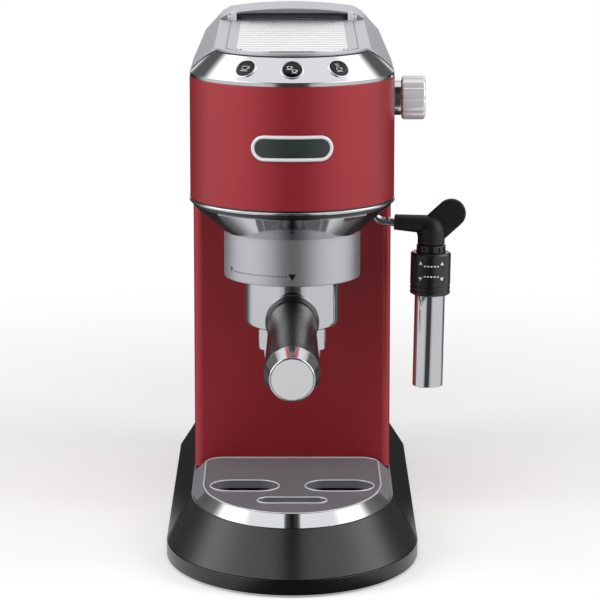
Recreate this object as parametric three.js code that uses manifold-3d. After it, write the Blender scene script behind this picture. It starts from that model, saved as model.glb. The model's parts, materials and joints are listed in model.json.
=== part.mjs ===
// Slim espresso machine with a round brewing group, a portafilter, a milk frother wand,
// a lift-out water tank and a sliding drip tray.
// Millimetres, +Z up. The front faces -Y, and +X is the machine's right side seen from the front.
// Heights are counted from the counter, and Y from the centre of the base's round nose.

import * as THREE from "three";
import { mergeVertices } from "three/addons/utils/BufferGeometryUtils.js";
import Module from "manifold-3d";

const wasm = await Module();
wasm.setup();

// ---- Fits and walls ---------------------------------------------------------------------

const seatGap = 0.05; // between two faces that rest on each other
const slideGap = 0.3; // round a piece that moves or drops in
const sheet = 1.5; // painted steel panels
const coverWall = 2.2; // top cover
const shellWall = 3; // mouldings of the base
const beyond = 20; // how far a cutting tool reaches past what it cuts

// ---- Smoothness: sides of a full turn ---------------------------------------------------

const bodyRound = 40;
const bigRound = 36;
const innerRound = 20; // for what lies hidden inside the brewing group
const midRound = 16;
const smallRound = 12;
const filletSteps = 4;
const flatTolerance = 0.001; // corners that lie this close to a straight edge or flat face go

// ---- Body -------------------------------------------------------------------------------

const groupAxisY = 40; // the round head and the brewing group share this upright axis
const headRadius = 60.6;
const taperStartY = 110; // the sides run straight back to here, then close in
const rearTaper = 4.1; // how far each side has closed in at the rear
const rearHalfWidth = headRadius - rearTaper;
const rearY = 238;
const headBottom = 209.75;
const headHeight = 71.85;
const wrapTop = headBottom + headHeight; // top edge of the red wrap at the front
const coverFoot = 1.4; // upright edge of the cover under its shoulders
const coverEdgeZ = wrapTop + coverFoot;
const shoulderRise = 16;
const shoulderWidth = 14.6;
const coverTop = coverEdgeZ + shoulderRise;
const coverTopHalfWidth = headRadius - shoulderWidth;
const columnInset = 0.2; // from the body's side to the column's
const columnHalfWidth = headRadius - columnInset;
const columnCornerRadius = 6;
const columnReturn = 12; // how far the column panel turns back along the sides

// ---- Base and drip tray -----------------------------------------------------------------

const footHeight = 4.5;
const footRadius = 8;
const footEdge = 0.8; // bevel at a foot's lower edge
const footShows = 1.5; // how far a foot stands out of the base plate
const footFrontX = 36;
const footFrontInset = 39; // from the base's front to the front feet
const footRearInset = 18; // from the base's rear to the rear feet
const footSideStep = 0.5; // how much further in than that they stand from the sides
const plateThickness = 9;
const plateEdge = 0.8; // bevel at the base plate's lower edge
const plateRecess = 4; // depth of the recess under the base plate
const plateRim = 7; // width of the rim round that recess
const footBossWall = 3.5; // wall of the boss that holds a foot
const plateRibWidth = 2.4;
const plateTopZ = footShows + plateThickness;
const baseHalfWidth = 74.5;
const baseNoseLength = 91;
const baseOverhang = 2; // how far the base reaches out behind the body
const baseRearY = rearY + baseOverhang;
const baseCornerRadius = 15;
const baseRise = 21.3; // height of the sloping part
const rimZ = plateTopZ + baseRise;
const wrapOverRim = 0.1;
const rimHalfWidth = headRadius - wrapOverRim;
const rimNoseLength = 84;
const rimNoseCentreY = 25;
const rimOverhang = 0.5; // how far the rim reaches out behind the body
const rimRearY = rearY + rimOverhang;
const rimCornerRadius = 11;
const trayFloor = 2.7;
const trayWall = 4;
const cupPlateRise = 6.5; // from the base's rim to where the cups stand
const cupPlateZ = rimZ + cupPlateRise;
const cupPlateBevel = 6.5; // width of the bevel along the sides
const cupPlateHalfWidth = rimHalfWidth - cupPlateBevel;
const cupPlateNoseLength = 70;
const cupPlateNoseCentreY = 20;
const cupPlateCornerRadius = 12;
const cupPlateSheet = 1.4;
const cupPlateEdge = 1.2; // height of the upright edge that stands on the rim
const cupPlateSkirtZ = rimZ + cupPlateEdge;
const cupPlateSkirtInset = 1.2; // from the base's rim to that upright edge
const drainHalfLength = 20.6;
const drainHalfWidth = 12.7;
const drainCentreX = 28.3;
const drainFromAxis = 26.7; // the drain openings lie this far in front of the group's axis
const drainCentreY = groupAxisY - drainFromAxis;
const drainLip = 5; // height of the wall round a drain opening
const fingerSlotHalfLength = 20.4;
const fingerSlotHalfWidth = 6.6;
const fingerSlotFromDrains = 33.1;
const fingerSlotY = drainCentreY - fingerSlotFromDrains;
const fingerSlotDepth = 3;
const trimEndY = -3; // the chrome trim covers the bevel in front of this line
const trimSheet = 1.2;
const trimEndGap = 3;

// ---- Brewing group, from the head down --------------------------------------------------

const bowlDepth = 19.75; // the head's underside comes down this far to the group
const groupTop = headBottom - bowlDepth;
const groupHeight = 28.4;
const groupBottom = groupTop - groupHeight;
const portaRadius = 28.9;
const lugReach = 3.1;
const lugRoom = 1; // between a lug and the bore that it turns in
const groupBore = portaRadius + lugReach + lugRoom;
const groupWall = 7.6; // cast wall and sleeve together
const groupFootWall = 3.5; // what the sleeve's turned-in foot leaves bare of that wall
const sleeveRadius = groupBore + groupWall;
const sleeveSheet = 0.9;
const sleeveLip = 0.65; // thickness of the sleeve's turned-in foot
const headFoot = groupBottom + sleeveLip + seatGap; // the cast group stands in the sleeve
const rampRoom = 0.7; // between a bayonet ramp and the portafilter's wall
const rampInnerRadius = portaRadius + rampRoom;
const rampAngle = 45;
const rampLead = 12; // degrees of a ramp that slope, so that a lug rides up on it
const rampThickness = 2.2;
const rampTop = headFoot + rampThickness;
const rampCount = 3;
const lugHeight = 5;
const lugAngle = 36;
const lugLow = rampTop + slideGap;
const rimAboveLugs = 1.4;
const portaRim = lugLow + lugHeight + rimAboveLugs;
const basketWall = 0.6;
const basketDepth = 21;
const basketFlange = 2.6;
const basketCorner = 1.5;
const flangeTop = portaRim + seatGap + basketWall;
const gasketThickness = 3.8;
const gasketLow = flangeTop + slideGap;
const gasketInset = 0.4;
const gasketRadius = groupBore - gasketInset;
const groupCeiling = gasketLow + gasketThickness + seatGap; // the gasket and screen sit here
const waterHoleRadius = 3.2;
const screenInset = 3.6; // from the portafilter's wall to the shower screen's edge
const screenRadius = portaRadius - screenInset;
const screenThickness = 3.6;
const screenEdge = 0.8;
const screwHeadRadius = 4;
const screwHeadHeight = 1.3;
const screwRadius = 2.5;
const screwReach = 6;
const bowlLedge = 0.9; // the bowl's foot stands out round the sleeve
const bowlConeLow = sleeveRadius + bowlLedge;
const bowlInset = 1.6;
const bowlConeHigh = headRadius - bowlInset;
const bowlShoulder = 4.35; // from the head's lower edge down to the cone
const bowlConeHighZ = headBottom - bowlShoulder;
const bowlEdge = 1.2; // height of the small slope above the cone
const underbodyInset = 0.9;
const ringDrop = 2.35; // from the head's lower edge down to the chrome ring's foot
const ringHeight = 1.5;
const ringLowZ = headBottom - ringDrop;
const ringHighZ = ringLowZ + ringHeight;
const ringProud = 0.45;
const ringEndFromAxis = 10.6;
const ringEndY = groupAxisY + ringEndFromAxis;
const skirtSheet = 0.8;
const skirtLowMargin = 0.6;
const skirtHighMargin = 0.4;
const skirtLowZ = groupTop + skirtLowMargin;
const skirtHighZ = bowlConeHighZ - skirtHighMargin;
const skirtLowHalfWidth = 36;
const skirtHighHalfWidth = 44.4;
const groupToColumn = 2.2; // the column stands this far behind the sleeve
const columnFaceY = groupAxisY + sleeveRadius + groupToColumn;
const trayToColumn = 0.8;
const trayRearY = columnFaceY - trayToColumn;

// ---- Portafilter ------------------------------------------------------------------------

const portaWall = 2.5;
const portaShows = 30.1; // how far the bowl comes down below the group
const portaBottom = groupBottom - portaShows;
const portaFillet = 5;
const portaFloor = 5.5;
const bossRadius = 15;
const handleRise = 8.3; // from the bowl's bottom to the handle's axis where it leaves the bowl
const handleZ = portaBottom + handleRise;
const handleDip = 4.8; // degrees below level
const bossLength = 2;
const rootRadius = 15.9;
const rootLength = 4;
const rootBevel = 0.8;
const gripStartRadius = 14.2;
const gripEndRadius = 15.8;
const gripEnd = 104.5; // along the handle from the bowl
const gripWaist = 22; // the grip stays slim this far out from its root
const gripEndLength = 8; // straight part before the cap
const capLength = 12.5;
const capBand = 1;
const capBevel = 3.3;
const spoutHalfWidth = 21;
const spoutHalfDepth = 9;
const spoutHeight = 14.5;
const spoutBottom = portaBottom - spoutHeight;
const spoutShoulder = 7;
const spoutTaper = 1.5;
const spoutArch = 10;
const nozzleX = 13;
const nozzleRadius = 4.5;
const nozzleBore = 2.5;
const nozzleLength = 6;
const nozzleEdge = 0.6;

// ---- Controls and top -------------------------------------------------------------------

const panelFootInset = 0.3;
const panelFootRadius = headRadius - panelFootInset;
const panelUpright = 2.4; // the panel stands straight up this far, then slopes
const panelFootZ = wrapTop + panelUpright;
const panelTopMargin = 0.5;
const panelTopRadius = coverTopHalfWidth + panelTopMargin;
const panelTopDrop = 1.5;
const panelTopZ = coverTop - panelTopDrop;
const panelWall = 1.8;
const topEdgeRadius = panelTopRadius - slideGap; // round front edge of the flat top
const topEdgeDepth = 5;
const cheekFootInset = 1.8;
const cheekLowX = headRadius - cheekFootInset; // the cheeks' front edges run from here
const cheekLowFromAxis = 6;
const cheekLowY = groupAxisY + cheekLowFromAxis;
const cheekHeadInset = 2;
const cheekHighX = coverTopHalfWidth - cheekHeadInset; // up to here
const cheekHighFromAxis = 14.1;
const cheekHighY = groupAxisY - cheekHighFromAxis;
const buttonRadius = 5.4;
const buttonAngles = [-30, 0, 30];
const buttonNames = ["one_cup_button", "two_cup_button", "steam_button"];
const buttonSlope = 0.5; // place of the buttons between the panel's foot (0) and its top (1)
const buttonProud = 0.4;
const buttonEdge = 0.35;
const buttonDepth = 4.2;
const buttonStemRadius = 2;
const buttonStemLength = 1.8;
const buttonTravel = 1.5;
const bezelWidth = 0.9;
const bezelProud = 0.5;
const boardThickness = 1.6;
const boardReach = 6.2; // half its width along the panel's slope
const boardHalfAngle = 40;
const boardPostRadius = 1.6;
const warmerFrontMargin = 4.2;
const warmerRadius = topEdgeRadius - warmerFrontMargin; // round front edge of the warmer plate
const warmerSideMargin = 7.4;
const warmerHalfWidth = coverTopHalfWidth - warmerSideMargin;
const warmerSheet = 1.1;
const warmerSunk = 0.8;
const ribPitch = 12;
const ribWidth = 4;
const ribTopShare = 0.4; // the ribs' flat tops take this share of their width
const ribHeight = 0.8;
const ribFrontMargin = 10;
const ribFrontY = groupAxisY - warmerRadius + ribFrontMargin;
const ribInset = 3;
const badgeRise = 36.65; // from the head's lower edge to the badge's middle
const badgeZ = headBottom + badgeRise;
const badgeHalfLength = 23.65;
const badgeHalfHeight = 7.55;
const badgeRim = 1.4;
const badgeProud = 1.6;
const badgeSunk = 0.6;

// ---- Steam side -------------------------------------------------------------------------

const knobFromAxis = 20;
const knobY = groupAxisY + knobFromAxis;
const knobDrop = 16.1; // from the wrap's top edge to the knob's axis
const knobZ = wrapTop - knobDrop;
const knobStandOff = 4.8;
const knobStartX = headRadius + knobStandOff;
const knobLength = 14;
const knobRadius = 13.15;
const knobFlutes = 10;
const fluteDepth = 0.9;
const knobBevel = 1.4;
const neckRadius = 10.5;
const stemRadius = 3;
const stemIntoKnob = 8;
const valveInset = 6.6; // from the body's side to the steam valve
const valveOuterX = headRadius - valveInset;
const valveLength = 24;
const valveInnerX = valveOuterX - valveLength;
const valveHalfSize = 10;
const valveCorner = 3;
const stemInValve = 10;
const stemInnerX = valveOuterX - stemInValve;
const pivotFromValveEnd = 5;
const pivotX = valveOuterX - pivotFromValveEnd; // the wand swings about this upright axis
const pivotBehindKnob = 2;
const pivotY = knobY + pivotBehindKnob;
const socketRadius = 8;
const socketFlange = 2.2;
const socketEdge = 1;
const socketLength = 12.75;
const socketBottom = headBottom - socketLength;
const socketBossWall = 2.2;
const socketBossLength = 10;
const wandTubeRadius = 2.7;
const wandBendRadius = 8;
const wandHang = 19.75; // from the head's lower edge down to the arm
const wandBendZ = headBottom - wandHang;
const wandReach = 23.4;
const wandX = headRadius + wandReach; // the frother's axis
const bootStandOff = 1;
const bootStartX = headRadius + bootStandOff;
const bootStartRadius = 4.7;
const bootEndRadius = 5.8;
const bootEdge = 0.6;
const bootDrop = 2; // how far the boot comes down on its way to the elbow
const elbowRadius = 8.2;
const elbowFill = 0.6; // the tube ends this share of the elbow's radius before its axis
const elbowCrown = 1.15; // how much taller than round the elbow's top is
const elbowDrop = 6;
const elbowZ = wandBendZ - elbowDrop;
const elbowNeck = 8;
const elbowBottom = elbowZ - elbowNeck;
const tabRadius = 8.8;
const tabReach = 12;
const tabX = wandX + tabReach;
const tabLift = 11;
const tabZ = elbowZ + tabLift;
const tabThickness = 5;
const wandLean = 1; // degrees, the frother's foot towards the machine
const coreRingRadius = 8.8;
const coreRingHeight = 4.5;
const coreNotches = 12;
const notchDepth = 0.8;
const notchWidth = 1.6;
const notchLowMargin = 1.2;
const notchHighMargin = 0.8;
const coreShaftRadius = 6.5;
const collarRadius = 12.15;
const collarTop = elbowBottom - coreRingHeight;
const collarHeight = 25.8;
const collarEdge = 0.8;
const collarBottom = collarTop - collarHeight;
const collarStep = 6;
const frotherRadius = 9.15;
const frotherSheet = 0.8;
const frotherLength = 56.8;
const frotherBottom = collarBottom - frotherLength;
const sleeveShelf = 1;
const nozzleTipRadius = 2.5;
const nozzleTipShows = 1.6;
const nozzleTipZ = frotherBottom - nozzleTipShows;
const nozzleOffset = 3;

// ---- Water and works --------------------------------------------------------------------

const tankInset = 2;
const tankHalfWidth = coverTopHalfWidth - tankInset;
const tankDepth = 49.4;
const tankFrontY = rearY - tankDepth;
const tankCornerRadius = 7;
const tankWall = 2;
const bayRise = 8.2; // from the base's rim to the tank bay's floor
const bayFloorZ = rimZ + bayRise;
const bayWall = 3.6; // between the tank and the works
const lidEdgeRise = 4;
const lidEdgeZ = coverTop + lidEdgeRise;
const lidCrown = 3;
const lidSlopeWidth = 4;
const lidEdgeX = tankHalfWidth - lidSlopeWidth;
const lidLip = 0.5; // thickness of the lid at its sides
const lidOverhang = 2;
const lidSheet = 2.4;
const lidRimDepth = 2.5;
const lidRoom = 1.5; // how far the room in the lid's rim reaches into the lid
const hingeRadius = 1.25;
const hingeX = 26; // a hinge on each side of the middle
const knuckleHalfLength = 4;
const outerKnuckleLength = 4;
const hingePinRadius = 0.6;
const outletFromFront = 14.4;
const outletY = tankFrontY + outletFromFront;
const outletRadius = 5.9;
const outletEdge = 1;
const valveFlange = 2.5;
const valveFlangeHeight = 1.6;
const seatRadius = 10;
const warmerToTank = 7.6;
const warmerRearY = tankFrontY - warmerToTank;
const railToTank = 3.4;
const railY = tankFrontY - railToTank;
const railInset = 3.2;
const railHalfLength = warmerHalfWidth - railInset;
const railDepth = 3;
const railRise = 1.4;
const railLowZ = coverTop + railRise;
const railHeight = 3.2;
const railHighZ = railLowZ + railHeight;
const railCorner = 0.9;
const railFootLength = 3;
const railFootGrow = 0.4;
const railBlockWidth = 5.5;
const railBlockDepth = 6;
const railBlockHeight = 5;
const railBlockCorner = 1;
const worksRise = 4.2; // from the base's rim to the works' floor
const worksFloorZ = rimZ + worksRise;
const worksInset = 8.4;
const worksHalfWidth = columnHalfWidth - worksInset;
const frontWall = 5.4;
const windowInset = 7;
const windowHalfWidth = worksHalfWidth - windowInset; // opening in the front wall
const windowRise = 2.25;
const windowBottom = headBottom + windowRise;
const blockInset = 7;
const blockHalfWidth = windowHalfWidth - blockInset;
const blockFrontFromAxis = 32;
const blockRearFromAxis = 38;
const blockFrontY = groupAxisY - blockFrontFromAxis;
const blockRearY = groupAxisY + blockRearFromAxis;
const blockRise = 3.25;
const blockBottom = headBottom + blockRise;
const blockHeight = 39;
const blockTop = blockBottom + blockHeight;
const blockCorner = 8;
const blockNeckRadius = 20;
const neckHoleRoom = 2;
const pumpToTank = 48.6;
const pumpY = tankFrontY - pumpToTank;
const pumpRise = 30;
const pumpBottom = worksFloorZ + pumpRise;
const coilHalfWidth = 20;
const coilHalfDepth = 22;
const coilHeight = 46;
const pumpRadius = 11;
const pumpTubeBelow = 9;
const pumpTubeAbove = 16;
const pumpTubeLow = pumpBottom - pumpTubeBelow;
const pumpTubeHigh = pumpBottom + coilHeight + pumpTubeAbove;
const spigotRadius = 3.5;
const spigotLength = 7;
const mountPost = 8;
const mountSlab = 4;
const hoseRadius = 3;
const hoseRise = 4;
const hoseZ = rimZ + hoseRise;
const hoseRoom = 1;
const glandX = -45;
const glandZ = 20;
const glandRadius = 6;
const glandNeck = 8;
const glandFlange = 8;
const glandFlangeHeight = 1.4;
const glandEdge = 1;
const glandBore = 3.3;

// ---- Geometry helpers -------------------------------------------------------------------

const degrees = (angle) => (angle * Math.PI) / 180;

// Merges shared corners and drops the collapsed triangles that a revolve leaves on its axis.
function weld(geometry) {
  const bare = geometry.index ? geometry.toNonIndexed() : geometry.clone();
  bare.deleteAttribute("normal");
  bare.deleteAttribute("uv");
  const merged = mergeVertices(bare, 1e-4);
  const corners = merged.index.array;
  const kept = [];
  for (let i = 0; i < corners.length; i += 3) {
    const [a, b, c] = [corners[i], corners[i + 1], corners[i + 2]];
    if (a !== b && b !== c && c !== a) kept.push(a, b, c);
  }
  merged.setIndex(kept);
  return merged;
}

function signedVolume(geometry) {
  const place = geometry.attributes.position;
  const corners = geometry.index.array;
  const [a, b, c] = [new THREE.Vector3(), new THREE.Vector3(), new THREE.Vector3()];
  let sum = 0;
  for (let i = 0; i < corners.length; i += 3) {
    a.fromBufferAttribute(place, corners[i]);
    b.fromBufferAttribute(place, corners[i + 1]);
    c.fromBufferAttribute(place, corners[i + 2]);
    sum += a.dot(b.cross(c)) / 6;
  }
  return sum;
}

// A closed mesh as a solid, with its faces turned to point out.
function toSolid(geometry) {
  const closed = weld(geometry);
  const triVerts = Uint32Array.from(closed.index.array);
  if (signedVolume(closed) < 0) {
    for (let i = 0; i < triVerts.length; i += 3) {
      [triVerts[i], triVerts[i + 1]] = [triVerts[i + 1], triVerts[i]];
    }
  }
  const vertProperties = Float32Array.from(closed.attributes.position.array);
  return new wasm.Manifold(new wasm.Mesh({ numProp: 3, vertProperties, triVerts }));
}

function toGeometry(solid) {
  const mesh = solid.simplify(flatTolerance).getMesh();
  const geometry = new THREE.BufferGeometry();
  geometry.setAttribute("position", new THREE.BufferAttribute(mesh.vertProperties, 3));
  geometry.setIndex(new THREE.BufferAttribute(mesh.triVerts, 1));
  return geometry;
}

function cut(geometry, ...tools) {
  let solid = toSolid(geometry);
  for (const tool of tools) solid = solid.subtract(toSolid(tool));
  return toGeometry(solid);
}

function join(geometry, ...others) {
  let solid = toSolid(geometry);
  for (const other of others) solid = solid.add(toSolid(other));
  return toGeometry(solid);
}

function common(geometry, ...others) {
  let solid = toSolid(geometry);
  for (const other of others) solid = solid.intersect(toSolid(other));
  return toGeometry(solid);
}

// A plan shape stood up between two heights.
function prism(shape, lowZ, highZ, curveSegments = 5) {
  const depth = highZ - lowZ;
  const geometry = new THREE.ExtrudeGeometry(shape, { depth, bevelEnabled: false, curveSegments });
  return geometry.translate(0, 0, lowZ);
}

// A front-view shape (x, z) drawn back between two values of y.
function prismAlongY(shape, lowY, highY, curveSegments = 5) {
  const depth = highY - lowY;
  const geometry = new THREE.ExtrudeGeometry(shape, { depth, bevelEnabled: false, curveSegments });
  return geometry.rotateX(Math.PI / 2).translate(0, highY, 0);
}

// A side-view shape (y, z) drawn across between two values of x.
function prismAlongX(shape, lowX, highX, curveSegments = 5) {
  const depth = highX - lowX;
  const geometry = new THREE.ExtrudeGeometry(shape, { depth, bevelEnabled: false, curveSegments });
  const turned = new THREE.Matrix4().makeBasis(
    new THREE.Vector3(0, 1, 0),
    new THREE.Vector3(0, 0, 1),
    new THREE.Vector3(1, 0, 0),
  );
  return geometry.applyMatrix4(turned).translate(lowX, 0, 0);
}

// A closed profile of [radius, height] points turned about the Z axis.
function turned(profile, sides = midRound) {
  const points = profile.map(([radius, height]) => new THREE.Vector2(radius, height));
  const onAxis = points[0].x === 0 && points[points.length - 1].x === 0;
  if (!onAxis) points.push(points[0].clone());
  return new THREE.LatheGeometry(points, sides).rotateX(Math.PI / 2);
}

function rod(radius, lowZ, highZ, sides = smallRound) {
  return turned([[0, lowZ], [radius, lowZ], [radius, highZ], [0, highZ]], sides);
}

// A rod along X.
function crossRod(radius, lowX, highX, y, z, sides = 8) {
  return rod(radius, lowX, highX, sides).rotateY(Math.PI / 2).translate(0, y, z);
}

function block(lowX, highX, lowY, highY, lowZ, highZ) {
  const box = new THREE.BoxGeometry(highX - lowX, highY - lowY, highZ - lowZ);
  return box.translate((lowX + highX) / 2, (lowY + highY) / 2, (lowZ + highZ) / 2);
}

function polygon(points) {
  return new THREE.Shape(points.map(([x, y]) => new THREE.Vector2(x, y)));
}

function roundedRectangle(halfX, halfY, radius, centreX = 0, centreY = 0) {
  const shape = new THREE.Shape();
  const [x, y] = [halfX - radius, halfY - radius];
  shape.absarc(centreX + x, centreY + y, radius, 0, Math.PI / 2, false);
  shape.absarc(centreX - x, centreY + y, radius, Math.PI / 2, Math.PI, false);
  shape.absarc(centreX - x, centreY - y, radius, Math.PI, 1.5 * Math.PI, false);
  shape.absarc(centreX + x, centreY - y, radius, 1.5 * Math.PI, 2 * Math.PI, false);
  return shape;
}

// A slot shape with round ends.
function slot(halfLength, halfWidth, centreX = 0, centreY = 0) {
  const shape = new THREE.Shape();
  const reach = halfLength - halfWidth;
  shape.absarc(centreX + reach, centreY, halfWidth, -Math.PI / 2, Math.PI / 2, false);
  shape.absarc(centreX - reach, centreY, halfWidth, Math.PI / 2, 1.5 * Math.PI, false);
  return shape;
}

// A part of a flat ring, centred on an angle counted from +X.
function ringSector(innerRadius, outerRadius, centreAngle, spanAngle) {
  const start = degrees(centreAngle - spanAngle / 2);
  const end = degrees(centreAngle + spanAngle / 2);
  const shape = new THREE.Shape();
  shape.absarc(0, 0, outerRadius, start, end, false);
  shape.absarc(0, 0, innerRadius, end, start, true);
  return shape;
}

// A skin through stacked outlines that all have the same number of points.
function loft(sections) {
  const count = sections[0].points.length;
  const positions = [];
  for (const { points, z } of sections) {
    for (const point of points) positions.push(point.x, point.y, z);
  }
  const corners = [];
  for (let level = 0; level + 1 < sections.length; level += 1) {
    for (let i = 0; i < count; i += 1) {
      const next = (i + 1) % count;
      const [a, b] = [level * count + i, level * count + next];
      corners.push(a, b, b + count, a, b + count, a + count);
    }
  }
  const top = (sections.length - 1) * count;
  const lids = THREE.ShapeUtils.triangulateShape(sections[0].points, []);
  for (const [a, b, c] of lids) {
    corners.push(c, b, a);
    corners.push(top + a, top + b, top + c);
  }
  const geometry = new THREE.BufferGeometry();
  geometry.setAttribute("position", new THREE.Float32BufferAttribute(positions, 3));
  geometry.setIndex(corners);
  return geometry;
}

// ---- Assembly ---------------------------------------------------------------------------

const machine = new THREE.Group();

function finish(color, roughness, metalness, extra = {}) {
  return { color, roughness, metalness, ...extra };
}

const redPaint = finish(0x8a2430, 0.42, 0.25);
const blackPlastic = finish(0x151517, 0.45, 0);
const blackRubber = finish(0x1b1b1c, 0.75, 0);
const chrome = finish(0xd8d9dc, 0.08, 1);
const satinSteel = finish(0xb9babd, 0.28, 1);
const polishedSteel = finish(0xc7c8ca, 0.12, 1);
const silverPaint = finish(0xb4b5b9, 0.35, 0.7);
const castAluminium = finish(0x9a9b9d, 0.5, 0.9);
const brassMetal = finish(0xb08d4a, 0.35, 1);
const clearHose = finish(0xd9dad6, 0.4, 0);
const boardGreen = finish(0x2f5d3a, 0.6, 0);
const badgeField = finish(0x46504c, 0.35, 0.4);
const smokedPlastic = finish(0x55585c, 0.2, 0, { transparent: true, opacity: 0.55 });

function add(name, geometry, look, parent = machine) {
  const flat = geometry.index ? geometry.toNonIndexed() : geometry;
  flat.computeVertexNormals();
  const mesh = new THREE.Mesh(flat, new THREE.MeshStandardMaterial(look));
  mesh.name = name;
  parent.add(mesh);
  return mesh;
}

// ---- Outlines ---------------------------------------------------------------------------

// Half the body's width at a distance back.
function bodyHalfWidth(y) {
  const closing = (headRadius - rearHalfWidth) / (rearY - taperStartY);
  return headRadius - closing * Math.max(0, y - taperStartY);
}

// The body seen from above: round front, straight sides, slightly narrower rear.
function bodyShape(inset, back = rearY - inset) {
  const front = headRadius - inset;
  const rear = bodyHalfWidth(back) - inset;
  const shape = new THREE.Shape();
  shape.moveTo(front, taperStartY);
  shape.lineTo(rear, back);
  shape.lineTo(-rear, back);
  shape.lineTo(-front, taperStartY);
  shape.absarc(0, groupAxisY, front, Math.PI, 2 * Math.PI, false);
  return shape;
}

function bodyPrism(inset, lowZ, highZ, back) {
  return prism(bodyShape(inset, back), lowZ, highZ, bodyRound / 4);
}

// A bullet seen from above: elliptical nose, straight sides, rounded rear corners.
function bulletPoints({ halfWidth, noseLength, noseCentreY, backY, cornerRadius }, noseSteps = bodyRound / 2) {
  const cornerSteps = noseSteps / 5;
  const points = [];
  const inX = halfWidth - cornerRadius;
  const inY = backY - cornerRadius;
  for (let i = 0; i <= cornerSteps; i += 1) {
    const angle = (i / cornerSteps) * (Math.PI / 2);
    points.push(new THREE.Vector2(inX + cornerRadius * Math.cos(angle), inY + cornerRadius * Math.sin(angle)));
  }
  for (let i = 0; i <= cornerSteps; i += 1) {
    const angle = Math.PI / 2 + (i / cornerSteps) * (Math.PI / 2);
    points.push(new THREE.Vector2(-inX + cornerRadius * Math.cos(angle), inY + cornerRadius * Math.sin(angle)));
  }
  for (let i = 0; i <= noseSteps; i += 1) {
    const angle = Math.PI + (i / noseSteps) * Math.PI;
    points.push(new THREE.Vector2(halfWidth * Math.cos(angle), noseCentreY + noseLength * Math.sin(angle)));
  }
  return points;
}

// The base's outline at a height of its sloping part, moved in by a wall.
function baseSection(z, inset, noseSteps) {
  const rise = (z - plateTopZ) / (rimZ - plateTopZ);
  const between = THREE.MathUtils.lerp;
  return {
    z,
    points: bulletPoints({
      halfWidth: between(baseHalfWidth, rimHalfWidth, rise) - inset,
      noseLength: between(baseNoseLength, rimNoseLength, rise) - inset,
      noseCentreY: between(0, rimNoseCentreY, rise),
      backY: between(baseRearY, rimRearY, rise) - inset,
      cornerRadius: between(baseCornerRadius, rimCornerRadius, rise) - inset / 2,
    }, noseSteps),
  };
}

// ---- Base -------------------------------------------------------------------------------

const footPlaces = {
  foot_front_left: [-footFrontX, footFrontInset - baseNoseLength],
  foot_front_right: [footFrontX, footFrontInset - baseNoseLength],
  foot_rear_left: [footRearInset + footSideStep - baseHalfWidth, baseRearY - footRearInset],
  foot_rear_right: [baseHalfWidth - footRearInset - footSideStep, baseRearY - footRearInset],
};

function makeBase() {
  const places = Object.values(footPlaces);
  const slab = loft([
    { points: baseSection(plateTopZ, plateEdge).points, z: footShows },
    { points: baseSection(plateTopZ, 0).points, z: footShows + plateEdge },
    { points: baseSection(plateTopZ, 0).points, z: plateTopZ },
  ]);
  const recessTop = footShows + plateRecess;
  const recess = loft([
    { points: baseSection(plateTopZ, plateRim, 10).points, z: footShows - beyond },
    { points: baseSection(plateTopZ, plateRim, 10).points, z: recessTop },
  ]);
  const bosses = places.map(([x, y]) =>
    rod(footRadius + footBossWall, footShows - beyond, recessTop + 1).translate(x, y, 0));
  const longRib = block(
    -plateRibWidth / 2, plateRibWidth / 2, -baseNoseLength, baseRearY, footShows - beyond, recessTop + 1);
  const ribY = (places[0][1] + places[2][1]) / 2;
  const crossRib = block(
    -baseHalfWidth, baseHalfWidth, ribY - plateRibWidth / 2, ribY + plateRibWidth / 2,
    footShows - beyond, recessTop + 1);
  const footRooms = places.map(([x, y]) =>
    rod(footRadius + slideGap, footShows - beyond, footHeight + seatGap).translate(x, y, 0));
  const hollow = cut(recess, ...bosses, longRib, crossRib);
  add("base_plate", cut(slab, hollow, ...footRooms), blackPlastic);

  for (const [name, [x, y]] of Object.entries(footPlaces)) {
    const profile = [
      [0, 0],
      [footRadius - footEdge, 0],
      [footRadius, footEdge],
      [footRadius, footHeight],
      [0, footHeight],
    ];
    const foot = add(name, turned(profile, smallRound), blackRubber);
    foot.position.set(x, y, 0);
  }

  const lowZ = plateTopZ + seatGap;
  const rearFrontY = trayRearY + slideGap;
  const outer = loft([baseSection(lowZ, 0), baseSection(rimZ, 0)]);
  const inner = loft([baseSection(lowZ - 1, shellWall), baseSection(rimZ - shellWall, shellWall)]);
  const behindTray = block(-beyond - baseHalfWidth, baseHalfWidth + beyond, rearFrontY, baseRearY + beyond, 0, rimZ);
  const insideTray = block(
    -baseHalfWidth, baseHalfWidth, rearFrontY + shellWall, baseRearY + beyond, 0, rimZ);
  const glandHole = rod(glandRadius + slideGap, 0, beyond * 2).rotateX(-Math.PI / 2);
  glandHole.translate(glandX, rimRearY - beyond, glandZ);
  const shell = cut(common(outer, behindTray), common(inner, insideTray), glandHole);
  add("base_rear_shell", shell, blackPlastic);

  const flangeY = baseRearY + seatGap;
  const gland = turned([
    [glandBore, -glandNeck],
    [glandRadius, -glandNeck],
    [glandRadius, 0],
    [glandFlange, 0],
    [glandFlange, glandFlangeHeight],
    [glandRadius - glandEdge, glandFlangeHeight + glandEdge],
    [glandBore, glandFlangeHeight + glandEdge],
  ], smallRound);
  const fitting = add("cord_gland", gland.rotateX(-Math.PI / 2), blackRubber);
  fitting.position.set(glandX, flangeY, glandZ);
}

// ---- Drip tray --------------------------------------------------------------------------

function cupPlatePoints(inset) {
  return bulletPoints({
    halfWidth: cupPlateHalfWidth - inset,
    noseLength: cupPlateNoseLength - inset,
    noseCentreY: cupPlateNoseCentreY,
    backY: trayRearY - inset,
    cornerRadius: cupPlateCornerRadius - inset / 2,
  });
}

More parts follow.
